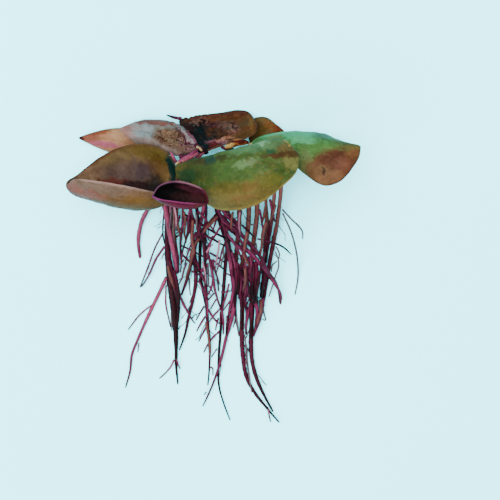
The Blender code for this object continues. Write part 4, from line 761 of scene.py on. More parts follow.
def hermite(start, end, pull_start, pull_end, t):
    """A smooth curve from start to end that leaves and arrives along its pulls."""
    return (
        (2 * t**3 - 3 * t**2 + 1) * start
        + (t**3 - 2 * t**2 + t) * pull_start
        + (3 * t**2 - 2 * t**3) * end
        + (t**3 - t**2) * pull_end
    )


def smooth_line(points, count):
    """A smooth line through all the points, as count points at even distances."""
    points = np.asarray(points, float)
    steps = np.linalg.norm(np.diff(points, axis=0), axis=1)
    at = np.concatenate([[0.0], np.cumsum(steps)])
    slopes = np.gradient(points, at, axis=0)
    t = np.linspace(0.0, 1.0, 17)[:, None]
    dense = []
    for i, step in enumerate(steps):
        piece = hermite(points[i], points[i + 1], slopes[i] * step, slopes[i + 1] * step, t)
        dense.append(piece if i == 0 else piece[1:])
    dense = np.concatenate(dense)
    run = np.concatenate([[0.0], np.cumsum(np.linalg.norm(np.diff(dense, axis=0), axis=1))])
    wanted = np.linspace(0.0, run[-1], count)
    return np.stack([np.interp(wanted, run, column) for column in dense.T], axis=1)


def at_shares(line, shares):
    """Points of an evenly spaced line at shares of its length."""
    even = np.linspace(0.0, 1.0, len(line))
    return np.stack([np.interp(shares, even, column) for column in line.T], axis=1)


def unit(vectors):
    length = np.linalg.norm(vectors, axis=-1, keepdims=True)
    return vectors / np.maximum(length, 1e-12)


def shell_from(name, places, faces, material, attributes):
    """A smooth mesh in metres with its point attributes, its faces turned outwards."""
    mesh = bpy.data.meshes.new(name)
    mesh.from_pydata([tuple(place) for place in places], [], faces)
    shell = bmesh.new()
    shell.from_mesh(mesh)
    bmesh.ops.recalc_face_normals(shell, faces=shell.faces)
    shell.to_mesh(mesh)
    shell.free()
    for label, values in attributes.items():
        values = np.asarray(values, float)
        kind, field = ("FLOAT", "value") if values.ndim == 1 else ("FLOAT_VECTOR", "vector")
        layer = mesh.attributes.new(label, kind, "POINT")
        layer.data.foreach_set(field, values.ravel())
    mesh.polygons.foreach_set("use_smooth", [True] * len(mesh.polygons))
    mesh.materials.append(material)
    return mesh


def add_piece(name, mesh, slot, *replaced):
    """Links a finished mesh as a piece of the plant."""
    piece = bpy.data.objects.new(name, mesh)
    bpy.context.scene.collection.objects.link(piece)
    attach(piece, "root")
    if replaced:
        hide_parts(*replaced)
    return piece


def tube_rings(line, radii, sides):
    """Rings of points round a line, each turned as little as possible from the last."""
    ahead = unit(np.gradient(line, axis=0))
    side = unit(np.cross(ahead[0], [0.13, 0.29, 1.0]))
    turn = np.linspace(0.0, 2 * math.pi, sides, endpoint=False)
    rings = []
    for place, radius, course in zip(line, radii, ahead):
        side = unit(side - course * (side @ course))
        up = np.cross(side, course)
        rings.append(place + radius * (np.outer(np.cos(turn), side) + np.outer(np.sin(turn), up)))
    return np.array(rings), ahead


def tubes_mesh(name, tubes, sides, material):
    """One mesh of closed round tubes, each a line in metres and its radii."""
    places, faces, along, top = [], [], [], []
    for line, radii in tubes:
        line, radii = np.asarray(line, float), np.asarray(radii, float)
        rings, ahead = tube_rings(line, radii, sides)
        start = len(along)
        count = len(line)
        tips = [line[0] - ahead[0] * radii[0] * 0.5, line[-1] + ahead[-1] * radii[-1]]
        places += [rings.reshape(-1, 3), tips]
        along += list(np.repeat(np.linspace(0.0, 1.0, count), sides)) + [0.0, 1.0]
        # How far each point faces the eye; the root skins paint light and shade across the tube from it
        lift = (rings - line[:, None]) @ TO_EYE / radii[:, None]
        top += list(0.5 + 0.5 * lift.ravel()) + [0.6, 0.6]
        for i in range(count - 1):
            for j in range(sides):
                k = (j + 1) % sides
                a, b = start + i * sides, start + (i + 1) * sides
                faces.append((a + j, b + j, b + k, a + k))
        first, last = start + count * sides, start + (count - 1) * sides
        for j in range(sides):
            k = (j + 1) % sides
            faces.append((first, start + j, start + k))
            faces.append((first + 1, last + k, last + j))
    return shell_from(name, np.concatenate(places), faces, material, {"along": along, "top": top})


# --- leaves


def blade_grid(leaf, steps_long, steps_wide):
    """The middle surface of a leaf in millimetres, from its far margin across the midrib to its near margin."""
    shares = 0.5 - 0.5 * np.cos(np.linspace(0.06, math.pi - 0.06, steps_long + 1))
    lines = {}
    for part in ("midrib", "near", "far"):
        spots = at_shares(smooth_line(leaf[part], 400), shares)
        lines[part] = on_sight_line(spots) / MM
    along = np.gradient(lines["midrib"], axis=0)
    swell = np.sin(shares * math.pi)[:, None]
    halves = {}
    for side, bow in zip(("near", "far"), leaf["bow"]):
        width = lines[side] - lines["midrib"]
        out = np.cross(along, width)
        out = unit(out * np.where(out @ TO_EYE < 0, -1.0, 1.0)[:, None])
        halves[side] = [
            lines["midrib"] + share * width + bow * 4 * share * (1 - share) * swell * out
            for share in (0.25, 0.5, 0.75)
        ]
    stations = [lines["far"], *halves["far"][::-1], lines["midrib"], *halves["near"], lines["near"]]
    stations = np.stack(stations, axis=1)
    across = np.linspace(0.0, 1.0, steps_wide + 1)
    knots = np.linspace(0.0, 1.0, stations.shape[1])
    slopes = np.gradient(stations, knots, axis=1) * knots[1]
    at = np.clip((across / knots[1]).astype(int), 0, len(knots) - 2)
    t = ((across - knots[at]) / knots[1])[None, :, None]
    grid = hermite(stations[:, at], stations[:, at + 1], slopes[:, at], slopes[:, at + 1], t)
    return grid, shares, across


def blade_normals(grid):
    """Normals of a blade on the side of the rosette's top."""
    normals = unit(np.cross(np.gradient(grid, axis=0), np.gradient(grid, axis=1)))
    return -normals if (normals @ ROSETTE_TOP).mean() < 0 else normals


def blade_relief(grid, shares, across, wrinkles):
    """How far each point of a blade stands out of its smooth surface, in units of its relief."""
    flat = grid.reshape(-1, 3)
    swell = [noise.noise(Vector(place) * 0.5) + 0.45 * noise.noise(Vector(place) * 1.2) for place in flat]
    relief = np.array(swell).reshape(grid.shape[:2])
    edge = np.abs(2 * across - 1)[None]
    relief = relief - 0.9 * np.exp(-((edge / 0.05) ** 2))
    if wrinkles:
        drawn = as_drawn(flat)
        for wrinkle_across, wrinkle_up, radius, depth, pitch in wrinkles:
            near = np.exp(-(((drawn[:, 0] - wrinkle_across) ** 2 + (drawn[:, 1] - wrinkle_up) ** 2) / radius**2))
            folds = [1 - 4 * abs(noise.noise(Vector(place) * pitch)) for place in flat]
            relief = relief + (near * depth * np.array(folds)).reshape(relief.shape)
    return relief


def leaf_mesh(name, leaf, thickness, steps_long, steps_wide, material):
    """A leaf blade as one closed shell with a rounded rim."""
    grid, shares, across = blade_grid(leaf, steps_long, steps_wide)
    lift = blade_relief(grid, shares, across, leaf.get("wrinkles")) * leaf["relief"]
    grid = grid + blade_normals(grid) * lift[..., None]
    grid[..., 2] = np.maximum(grid[..., 2], 0.3)
    edge = np.abs(2 * across - 1)[None]
    ends = np.minimum(shares, 1 - shares)[:, None]
    thin = np.sqrt(np.clip(1 - edge**12, 0.1, 1.0)) * np.sqrt(np.clip(ends / 0.02, 0.15, 1.0))
    half = (500.0 * thickness * thin)[..., None]
    out = blade_normals(grid) * half
    upper, lower = grid + out, grid - out
    near_rim = grid[:, -1] + unit(grid[:, -1] - grid[:, -2]) * half[:, -1]
    far_rim = grid[:, 0] + unit(grid[:, 0] - grid[:, 1]) * half[:, 0]
    rings = np.concatenate([upper, near_rim[:, None], lower[:, ::-1], far_rim[:, None]], axis=1)
    rows, count = rings.shape[:2]
    wide = len(across)

    faces = []
    for i in range(rows - 1):
        for j in range(count):
            k = (j + 1) % count
            faces.append((i * count + j, i * count + k, (i + 1) * count + k, (i + 1) * count + j))
    for row in (0, (rows - 1) * count):
        for j in range(wide - 1):
            under = count - 2 - j
            faces.append((row + j, row + j + 1, row + under - 1, row + under))
        faces.append((row + wide - 1, row + wide, row + wide + 1))
        faces.append((row, row + count - 2, row + count - 1))
    places = rings.reshape(-1, 3)
    attributes = {
        "along": np.repeat(shares, count),
        "across": np.tile(np.concatenate([across, [1.0], across[::-1], [0.0]]), rows),
        "under": np.tile(np.concatenate([np.zeros(wide), [0.5], np.ones(wide), [0.5]]), rows),
        "drawn": as_drawn(places),
    }
    return shell_from(name, places * MM, faces, material, attributes)


def rolled_leaf_mesh(thickness, material):
    """The young leaf that is still rolled up, as one spiral sheet round its course."""
    line = smooth_line(BUD_ROUTE, 60)
    course = on_sight_line(line)
    shares = np.linspace(0.0, 1.0, len(course))
    swell = np.interp(shares, np.linspace(0.0, 1.0, len(BUD_SWELL)), BUD_SWELL)
    ahead = unit(np.gradient(course, axis=0))
    side = unit(np.cross(ahead, [0.0, 0.0, 1.0]))
    up = np.cross(side, ahead)
    turn = np.linspace(-0.4, 2 * math.pi * 1.55 - 0.4, 56)
    shrink = np.linspace(1.0, 0.42, len(turn))
    wall = thickness * np.sqrt(np.clip(1 - np.abs(np.linspace(-1.0, 1.0, len(turn))) ** 8, 0.1, 1.0))
    rings = []
    for place, size, across, above in zip(course, swell, side, up):
        spoke = np.outer(np.cos(turn), across) + np.outer(np.sin(turn), above)
        radius = BUD_RADIUS * MM * size * shrink
        outer = place + spoke * radius[:, None]
        inner = place + spoke * np.maximum(radius - wall * size, 1e-5)[:, None]
        rings.append(np.concatenate([outer, inner[::-1]]))
    rings = np.array(rings)
    rows, count = rings.shape[:2]
    wide = len(turn)
    faces = []
    for i in range(rows - 1):
        for j in range(count):
            k = (j + 1) % count
            faces.append((i * count + j, i * count + k, (i + 1) * count + k, (i + 1) * count + j))
    for row in (0, (rows - 1) * count):
        for j in range(wide - 1):
            faces.append((row + j, row + j + 1, row + count - 2 - j, row + count - 1 - j))
    places = rings.reshape(-1, 3)
    attributes = {
        "along": np.repeat(shares, count),
        "across": np.tile(np.concatenate([np.linspace(0, 1, wide), np.linspace(1, 0, wide)]), rows),
        "under": np.tile(np.concatenate([np.ones(wide), np.zeros(wide)]), rows),
        "drawn": as_drawn(places / MM),
    }
    return shell_from("leaf_rolled", places, faces, material, attributes)


# --- stem, stalks and roots


def bumpy_tube(route, radius, step, bumps):
    """A line in metres through spots (across, up, height) and its knobbly radii."""
    route = np.asarray(route, float)
    length = np.linalg.norm(np.diff(route, axis=0), axis=1).sum()
    line = on_sight_line(smooth_line(route, max(8, round(length / step))))
    swell = np.array([noise.noise(Vector(place) * 900.0) for place in line])
    return line, radius * MM * (1 + bumps * swell)


def root_tube(course, step, bumps):
    """A root's line in metres and its radii, from its corners (across, up, height, radius)."""
    length = np.linalg.norm(np.diff(course[:, :3], axis=0), axis=1).sum()
    fine = smooth_line(course, max(8, round(length / step)))
    line = on_sight_line(fine)
    swell = np.array([noise.noise(Vector(place) * 1400.0) for place in line])
    radii = (fine[:, 3] * ROOT_FULLNESS + ROOT_SKIN) * MM * (1 + bumps * swell)
    line[:, 2] = np.maximum(line[:, 2], radii)
    return line, radii


def lay_roots():
    """Corners (across, up, height, radius) of each root, laid one over the other from the surface up."""
    lean = math.tan(LOOK_LEAN)
    laid = []
    courses = {}
    jobs = [(name, height, route) for name, (height, route) in ROOTS.items()]
    for look, routes in SIDE_ROOTS.items():
        jobs += [(f"side_roots_{look}.{i}", None, route) for i, route in enumerate(routes)]
    for name, start_height, route in jobs:
        route = np.asarray(route, float)
        on_root = start_height is None
        length = np.linalg.norm(np.diff(route[:, :2], axis=0), axis=1).sum()
        piece = SIDE_PIECE if on_root else ROOT_PIECE if length > 12 else ROOT_SHORT_PIECE
        gap = SIDE_GAP if on_root else ROOT_GAP
        corners = smooth_line(route, max(4, round(length / piece) + 1))
        tries = max(4, round(length / ROOT_TRY))
        at_corner = np.linspace(0.0, length, len(corners))
        at = np.linspace(0.0, length, tries)
        line = np.stack([np.interp(at, at_corner, column) for column in corners.T], axis=1)
        radius = line[:, 2]
        if on_root:
            start_height = nearest_height(laid, route[0, :2])
        sunk = np.clip(at / (ROOT_SINK * start_height), 0.0, 1.0)
        bare = radius + (start_height - radius) * (1 - sunk**2 * (3 - 2 * sunk))
        rise = np.zeros(tries)
        for other, other_near, other_radius in laid:
            apart = np.linalg.norm(line[:, None, :2] - other[None], axis=2)
            reach = radius[:, None] + other_radius[None] + gap
            over = other_near[None] + np.sqrt(np.clip(reach**2 - apart**2, 0.0, None))
            over = np.where(apart < reach, over, -100.0).max(axis=1)
            rise = np.maximum(rise, (over - lean * line[:, 1]) * math.cos(LOOK_LEAN) - bare)
        if on_root:
            rise = rise * np.clip(at / SIDE_FREE - 0.3, 0.0, 1.0)
        rise = (rise[None] - ROOT_CLIMB * np.abs(at[:, None] - at[None])).max(axis=1)
        beside = np.abs(at_corner[:, None] - at[None]) < at_corner[1] * 1.001
        corner_rise = np.where(beside, rise[None], 0.0).max(axis=1)
        corner_height = np.interp(at_corner, at, bare) + corner_rise
        height = np.interp(at, at_corner, corner_height)
        laid.append((line[:, :2], height / math.cos(LOOK_LEAN) + lean * line[:, 1], radius))
        courses[name] = np.column_stack([corners[:, :2], corner_height, corners[:, 2]])
    return courses


def nearest_height(laid, spot):
    """The height of the laid root that runs closest past a spot (across, up)."""
    best = None
    for other, other_near, _ in laid:
        apart = np.linalg.norm(other - spot, axis=1)
        closest = apart.argmin()
        if best is None or apart[closest] < best[0]:
            height = (other_near[closest] - math.tan(LOOK_LEAN) * other[closest, 1]) * math.cos(LOOK_LEAN)
            best = (apart[closest], height)
    return best[1]


# --- node helpers


def add_node(tree, kind, inputs=None, **settings):
    """A node with its settings and its inputs, each a value or the socket it is fed from."""
    node = tree.nodes.new(kind)
    for label, value in settings.items():
        setattr(node, label, value)
    for label, value in (inputs or {}).items():
        if isinstance(value, bpy.types.NodeSocket):
            tree.links.new(value, node.inputs[label])
        else:
            node.inputs[label].default_value = value
    return node


def maths(tree, operation, *values):
    node = add_node(tree, "ShaderNodeMath", dict(enumerate(values)), operation=operation)
    return node.outputs[0]


def vector_maths(tree, operation, *values):
    node = add_node(tree, "ShaderNodeVectorMath", dict(enumerate(values)), operation=operation)
    return node.outputs[0]


def mix_colours(tree, share, first, second, blend="MIX"):
    inputs = {0: share, 6: first, 7: second}
    node = add_node(tree, "ShaderNodeMix", inputs, data_type="RGBA", blend_type=blend)
    return node.outputs[2]


def ease(tree, value, low, high, to_low=0.0, to_high=1.0):
    """Eases from to_low to to_high while the value goes from low to high."""
    inputs = {0: value, 1: low, 2: high, 3: to_low, 4: to_high}
    node = add_node(tree, "ShaderNodeMapRange", inputs, interpolation_type="SMOOTHSTEP")
    return node.outputs[0]


def blotches(tree, place, scale, detail=2.0, roughness=0.5, warp=0.0):
    inputs = {"Vector": place, "Scale": scale, "Detail": detail, "Roughness": roughness, "Distortion": warp}
    return add_node(tree, "ShaderNodeTexNoise", inputs).outputs["Fac"]


def attribute(tree, label, output="Fac"):
    return add_node(tree, "ShaderNodeAttribute", attribute_name=label).outputs[output]


def new_group(name, inputs, outputs):
    """An empty shader node group with its named sockets, its input node and its output node."""
    group = bpy.data.node_groups.new(name, "ShaderNodeTree")
    for label, kind, default in inputs:
        socket = group.interface.new_socket(label, in_out="INPUT", socket_type=kind)
        socket.default_value = default
    for label, kind in outputs:
        group.interface.new_socket(label, in_out="OUTPUT", socket_type=kind)
    return group, group.nodes.new("NodeGroupInput").outputs, group.nodes.new("NodeGroupOutput").inputs


def use_group(tree, group, **inputs):
    inputs = {label.replace("_", " "): value for label, value in inputs.items()}
    node = tree.nodes.new("ShaderNodeGroup")
    node.node_tree = bpy.data.node_groups[group]
    for label, value in inputs.items():
        if isinstance(value, bpy.types.NodeSocket):
            tree.links.new(value, node.inputs[label])
        else:
            node.inputs[label].default_value = value
    return node.outputs


def colour(code):
    """A linear colour from the hex code of a screen colour."""
    parts = [int(code[i : i + 2], 16) / 255 for i in (0, 2, 4)]
    parts = [part / 12.92 if part < 0.04045 else ((part + 0.055) / 1.055) ** 2.4 for part in parts]
    return (*parts, 1.0)


# --- shared finishes


def build_soft_patch():
    """A patch of colour with a soft and frayed edge, centred and turned on the leaf."""
    group, given, put = new_group(
        "soft_patch",
        [
            ("Vector", "NodeSocketVector", (0.0, 0.0, 0.0)),
            ("Centre", "NodeSocketVector", (0.0, 0.0, 0.0)),
            ("Radii", "NodeSocketVector", (1.0, 1.0, 1.0)),
            ("Turn", "NodeSocketVector", (0.0, 0.0, 0.0)),
            ("Softness", "NodeSocketFloat", 0.5),
            ("Strength", "NodeSocketFloat", 1.0),
        ],
        [("Mask", "NodeSocketFloat")],
    )
    inputs = {"Vector": given["Vector"], "Location": given["Centre"], "Rotation": given["Turn"], "Scale": given["Radii"]}
    turned = add_node(group, "ShaderNodeMapping", inputs, vector_type="TEXTURE").outputs[0]
    length = add_node(group, "ShaderNodeVectorMath", {0: turned}, operation="LENGTH").outputs["Value"]
    inner = maths(group, "MULTIPLY_ADD", given["Softness"], -0.6, 1.1)
    outer = maths(group, "MULTIPLY_ADD", given["Softness"], 0.5, 1.1)
    mask = ease(group, length, outer, inner)
    group.links.new(maths(group, "MULTIPLY", mask, given["Strength"]), put["Mask"])


def build_leaf_grain():
    """Clouds, blotches and fine grain of a living leaf: a colour and the height that goes with it."""
    group, given, put = new_group(
        "leaf_grain",
        [
            ("Vector", "NodeSocketVector", (0.0, 0.0, 0.0)),
            ("Colour", "NodeSocketColor", (0.5, 0.5, 0.5, 1.0)),
            ("Contrast", "NodeSocketFloat", 0.5),
            ("Specks", "NodeSocketFloat", 0.3),
        ],
        [("Colour", "NodeSocketColor"), ("Height", "NodeSocketFloat")],
    )
    clouds = blotches(group, given["Vector"], 0.42, 3.0, 0.55, 0.4)
    spots = blotches(group, given["Vector"], 1.7, 2.0, 0.6)
    grain = blotches(group, given["Vector"], 7.0, 1.0, 0.5)
    value = maths(group, "MULTIPLY_ADD", spots, 0.7, maths(group, "MULTIPLY", clouds, 0.9))
    value = maths(group, "MULTIPLY_ADD", grain, 0.5, value)
    value = maths(group, "MULTIPLY", maths(group, "SUBTRACT", value, 1.05), given["Contrast"])
    shade = maths(group, "ADD", value, 1.0)
    speck = ease(group, blotches(group, given["Vector"], 3.1, 1.0, 0.4), 0.60, 0.72)
    shade = maths(group, "SUBTRACT", shade, maths(group, "MULTIPLY", speck, given["Specks"]))
    shade = maths(group, "MAXIMUM", shade, 0.15)
    group.links.new(vector_maths(group, "MULTIPLY", given["Colour"], shade), put["Colour"])
    height = maths(group, "MULTIPLY_ADD", grain, 0.35, maths(group, "MULTIPLY", spots, 0.65))
    group.links.new(height, put["Height"])


def build_leaf_veins():
    """Side veins that leave the midrib in pairs and sweep towards the tip."""
    group, given, put = new_group(
        "leaf_veins",
        [
            ("Along", "NodeSocketFloat", 0.5),
            ("Across", "NodeSocketFloat", 0.5),
            ("Count", "NodeSocketFloat", 8.0),
            ("Slant", "NodeSocketFloat", 2.0),
            ("Width", "NodeSocketFloat", 0.12),
        ],
        [("Mask", "NodeSocketFloat")],
    )
    edge = maths(group, "ABSOLUTE", maths(group, "MULTIPLY_ADD", given["Across"], 2.0, -1.0))
    swept = maths(group, "MULTIPLY", maths(group, "POWER", edge, 1.4), given["Slant"])
    phase = maths(group, "SUBTRACT", maths(group, "MULTIPLY", given["Along"], given["Count"]), swept)
    saw = maths(group, "PINGPONG", phase, 0.5)
    side_veins = ease(group, saw, given["Width"], 0.0)
    side_veins = maths(group, "MULTIPLY", side_veins, ease(group, edge, 1.0, 0.6, 0.15, 1.0))
    midrib = ease(group, edge, 0.05, 0.01)
    group.links.new(maths(group, "MAXIMUM", side_veins, midrib), put["Mask"])


def build_dry_net_and_painted_light():
    """The net of a dried patch painted as colour: its pale and dark blotching, with painted highlight along the
    crumpled ridges and painted shade in the folds.
    """
    group, given, put = new_group(
        "dry_net",
        [("Vector", "NodeSocketVector", (0.0, 0.0, 0.0)), ("Pitch", "NodeSocketFloat", 1.0)],
        [("Ridges", "NodeSocketFloat"), ("Folds", "NodeSocketFloat")],
    )
    place = add_node(group, "ShaderNodeVectorMath", {0: given["Vector"], "Scale": given["Pitch"]}, operation="SCALE")
    crumple = blotches(group, place.outputs[0], 1.0, 2.0, 0.5, 1.2)
    off = maths(group, "ABSOLUTE", maths(group, "SUBTRACT", crumple, 0.5))
    group.links.new(ease(group, off, 0.045, 0.0), put["Ridges"])
    group.links.new(ease(group, crumple, 0.5, 0.38), put["Folds"])


def build_root_skin():
    """A root's colour from its start to its tip, with streaks and darker joints, painted shade towards the sides of the
    tube that turn away from the eye and painted light along the side that faces it, and its height.
    """
    group, given, put = new_group(
        "root_skin",
        [
            ("Vector", "NodeSocketVector", (0.0, 0.0, 0.0)),
            ("Along", "NodeSocketFloat", 0.5),
            ("Top", "NodeSocketFloat", 0.8),
            ("Start", "NodeSocketColor", (0.5, 0.2, 0.2, 1.0)),
            ("Middle", "NodeSocketColor", (0.4, 0.1, 0.15, 1.0)),
            ("Tip", "NodeSocketColor", (0.1, 0.02, 0.03, 1.0)),
        ],
        [("Colour", "NodeSocketColor"), ("Height", "NodeSocketFloat")],
    )
    shade = mix_colours(group, ease(group, given["Along"], 0.2, 0.7), given["Start"], given["Middle"])
    shade = mix_colours(group, ease(group, given["Along"], 0.7, 1.0), shade, given["Tip"])
    stretched = vector_maths(group, "MULTIPLY", given["Vector"], (3.2, 0.55, 3.2))
    streaks = blotches(group, stretched, 1.0, 3.0, 0.6)
    grain = blotches(group, given["Vector"], 4.5, 2.0, 0.5)
    value = maths(group, "MULTIPLY_ADD", streaks, 2.2, maths(group, "MULTIPLY_ADD", grain, 0.7, -0.45))
    # Painted light and shade: darkened to 0.4 at the tube's sides, lightened to 1.2 along the side facing the eye
    value = maths(group, "MULTIPLY", maths(group, "MAXIMUM", value, 0.12), ease(group, given["Top"], 0.5, 0.98, 0.4, 1.2))
    group.links.new(vector_maths(group, "MULTIPLY", shade, value), put["Colour"])
    group.links.new(maths(group, "MULTIPLY_ADD", grain, 0.5, streaks), put["Height"])


def start_material(name):
    """A material with its Principled shader, and Object coordinates in millimetres."""
    material = bpy.data.materials.new(name)
    material.use_nodes = True
    tree = material.node_tree
    coordinates = tree.nodes.new("ShaderNodeTexCoord").outputs["Object"]
    place = add_node(tree, "ShaderNodeVectorMath", {0: coordinates, "Scale": 1000.0}, operation="SCALE").outputs[0]
    return material, tree, tree.nodes["Principled BSDF"], place


def add_bump(tree, shader, height, strength, distance):
    inputs = {"Height": height, "Strength": strength, "Distance": distance}
    bump = add_node(tree, "ShaderNodeBump", inputs)
    tree.links.new(bump.outputs["Normal"], shader.inputs["Normal"])


def leaf_material(name, look, roughness):
    """A leaf's skin: its upper and under colour, listed patches, veins, grain and rim."""
    material, tree, shader, place = start_material(name)
    drawn = attribute(tree, "drawn", "Vector")
    fray = add_node(tree, "ShaderNodeTexNoise", {"Vector": place, "Scale": 0.9, "Detail": 3.0}).outputs["Color"]
    fray = vector_maths(tree, "SUBTRACT", fray, (0.5, 0.5, 0.5))
    frayed = vector_maths(tree, "MULTIPLY_ADD", fray, (look["fray"], look["fray"], 0.0), drawn)
    across = attribute(tree, "across")
    sides = {}
    for side in ("upper", "under"):
        shade = colour(look[side])
        for code, pitch_across, pitch_up, low, high, strength in look["clouds"]:
            stretched = vector_maths(tree, "MULTIPLY", place, (pitch_across, pitch_up, pitch_up))
            cloud = ease(tree, blotches(tree, stretched, 1.0, 3.0, 0.55, 0.1), low, high, 0.0, strength)
            shade = mix_colours(tree, cloud, shade, colour(code))
        for patch_side, *where, softness, strength, code in look["patches"]:
            if patch_side in (side, "both"):
                mask = place_patch(tree, frayed, where, softness, strength)
                shade = mix_colours(tree, mask, shade, colour(code))
        # Dry nets: the dried skin's blotching, with painted highlight on ridges and painted shade in folds
        for net_side, *where, pitch, pale, dark in look["nets"]:
            if net_side in (side, "both"):
                net = use_group(tree, "dry_net", Vector=place, Pitch=pitch)
                mask = place_patch(tree, frayed, where, 0.6, 0.9)
                shade = mix_colours(tree, maths(tree, "MULTIPLY", mask, net["Folds"]), shade, colour(dark))
                shade = mix_colours(tree, maths(tree, "MULTIPLY", mask, net["Ridges"]), shade, colour(pale))
        sides[side] = shade
    shade = mix_colours(tree, attribute(tree, "under"), sides["upper"], sides["under"])
    veins = use_group(
        tree, "leaf_veins", Along=attribute(tree, "along"), Across=across,
        Count=look["veins"][0], Slant=look["veins"][1], Width=look["veins"][2],
    )["Mask"]
    shade = mix_colours(tree, maths(tree, "MULTIPLY", veins, look["veins"][3]), shade, colour(look["vein"]))
    inner = 0.5 * look["rim_from"]
    near_rim = ease(tree, across, 0.5 + inner, 1.0, 0.0, look["rim_share"])
    far_rim = ease(tree, across, 0.5 - inner, 0.0, 0.0, look["rim_share"])
    shade = mix_colours(tree, near_rim, shade, colour(look["rim"]))
    shade = mix_colours(tree, far_rim, shade, colour(look["far_rim"]))
    for patch_side, *where, softness, strength, code in look["patches"]:
        if patch_side == "rim":
            mask = place_patch(tree, frayed, where, softness, strength)
            mask = maths(tree, "MULTIPLY", mask, maths(tree, "MAXIMUM", near_rim, far_rim))
            shade = mix_colours(tree, mask, shade, colour(code))
    grain = use_group(tree, "leaf_grain", Vector=place, Colour=shade, Contrast=look["contrast"], Specks=look["specks"])
    tree.links.new(grain["Colour"], shader.inputs["Base Color"])
    height = maths(tree, "MULTIPLY_ADD", veins, -0.25, grain["Height"])
    add_bump(tree, shader, height, look["bump"], 0.0002)
    gloss = blotches(tree, place, 2.4, 2.0)
    tree.links.new(ease(tree, gloss, 0.3, 0.7, roughness - 0.08, roughness + 0.12), shader.inputs["Roughness"])
    shader.inputs["Specular IOR Level"].default_value = look["gloss"]
    return material


def place_patch(tree, vector, where, softness, strength):
    """The mask of a soft patch at (across, up, radius across, radius up, turn in degrees)."""
    across, up, wide, tall, turn = where
    return use_group(
        tree, "soft_patch", Vector=vector, Centre=(across, up, 0.0), Radii=(wide, tall, 1.0),
        Turn=(0.0, 0.0, math.radians(-turn)), Softness=softness, Strength=strength,
    )["Mask"]


def root_material(name, start, middle, tip, roughness=0.5):
    """A root's skin, paler where it leaves the stem and dark towards its tip."""
    material, tree, shader, place = start_material(name)
    along = attribute(tree, "along")
    # The top attribute drives the painted light and shade across the root
    top = attribute(tree, "top")
    skin = use_group(tree, "root_skin", Vector=place, Along=along, Top=top, Start=start, Middle=middle, Tip=tip)
    tree.links.new(skin["Colour"], shader.inputs["Base Color"])
    add_bump(tree, shader, skin["Height"], 0.5, 0.0001)
    shader.inputs["Specular IOR Level"].default_value = 0.04
    gloss = ease(tree, skin["Height"], 0.4, 1.1, roughness - 0.1, roughness + 0.15)
    tree.links.new(gloss, shader.inputs["Roughness"])
    return material


def stem_material(name, skin, scar_and_highlight):
    """The stem's skin: pinkish, with darker rings at its joints and a pale cut end that is partly its scar and partly
    painted highlight.
    """
    material, tree, shader, place = start_material(name)
    along = attribute(tree, "along")
    rings = ease(tree, maths(tree, "PINGPONG", maths(tree, "MULTIPLY", along, 7.0), 0.5), 0.12, 0.0)
    shade = mix_colours(tree, maths(tree, "MULTIPLY", rings, 0.5), skin, colour("3b1319"))
    # Pale cut end: partly the scar, partly painted highlight
    shade = mix_colours(tree, ease(tree, along, 0.05, 0.0), shade, scar_and_highlight)
    grain = use_group(tree, "leaf_grain", Vector=place, Colour=shade, Contrast=0.8, Specks=0.3)
    tree.links.new(grain["Colour"], shader.inputs["Base Color"])
    add_bump(tree, shader, maths(tree, "MULTIPLY_ADD", rings, -0.5, grain["Height"]), 0.5, 0.0002)
    tree.links.new(ease(tree, grain["Height"], 0.3, 0.7, 0.45, 0.65), shader.inputs["Roughness"])
    shader.inputs["Specular IOR Level"].default_value = 0.08
    return material


# --- sizes and colours a user would change


class FloaterLeafSettings(bpy.types.PropertyGroup):
    thickness: FloatProperty(
        name="Blade thickness", description="Thickness of a leaf away from its rim",
        default=0.0004, min=0.0002, max=0.0006, precision=5, unit="LENGTH",
    )
    steps_long: IntProperty(
        name="Steps along", description="Faces along a leaf", default=120, min=24, max=200,
    )
    steps_wide: IntProperty(
        name="Steps across", description="Faces across a leaf", default=80, min=16, max=160,
    )
    roughness: FloatProperty(
        name="Roughness", description="How matt the leaves are", default=0.5, min=0.2, max=0.9, subtype="FACTOR",
    )


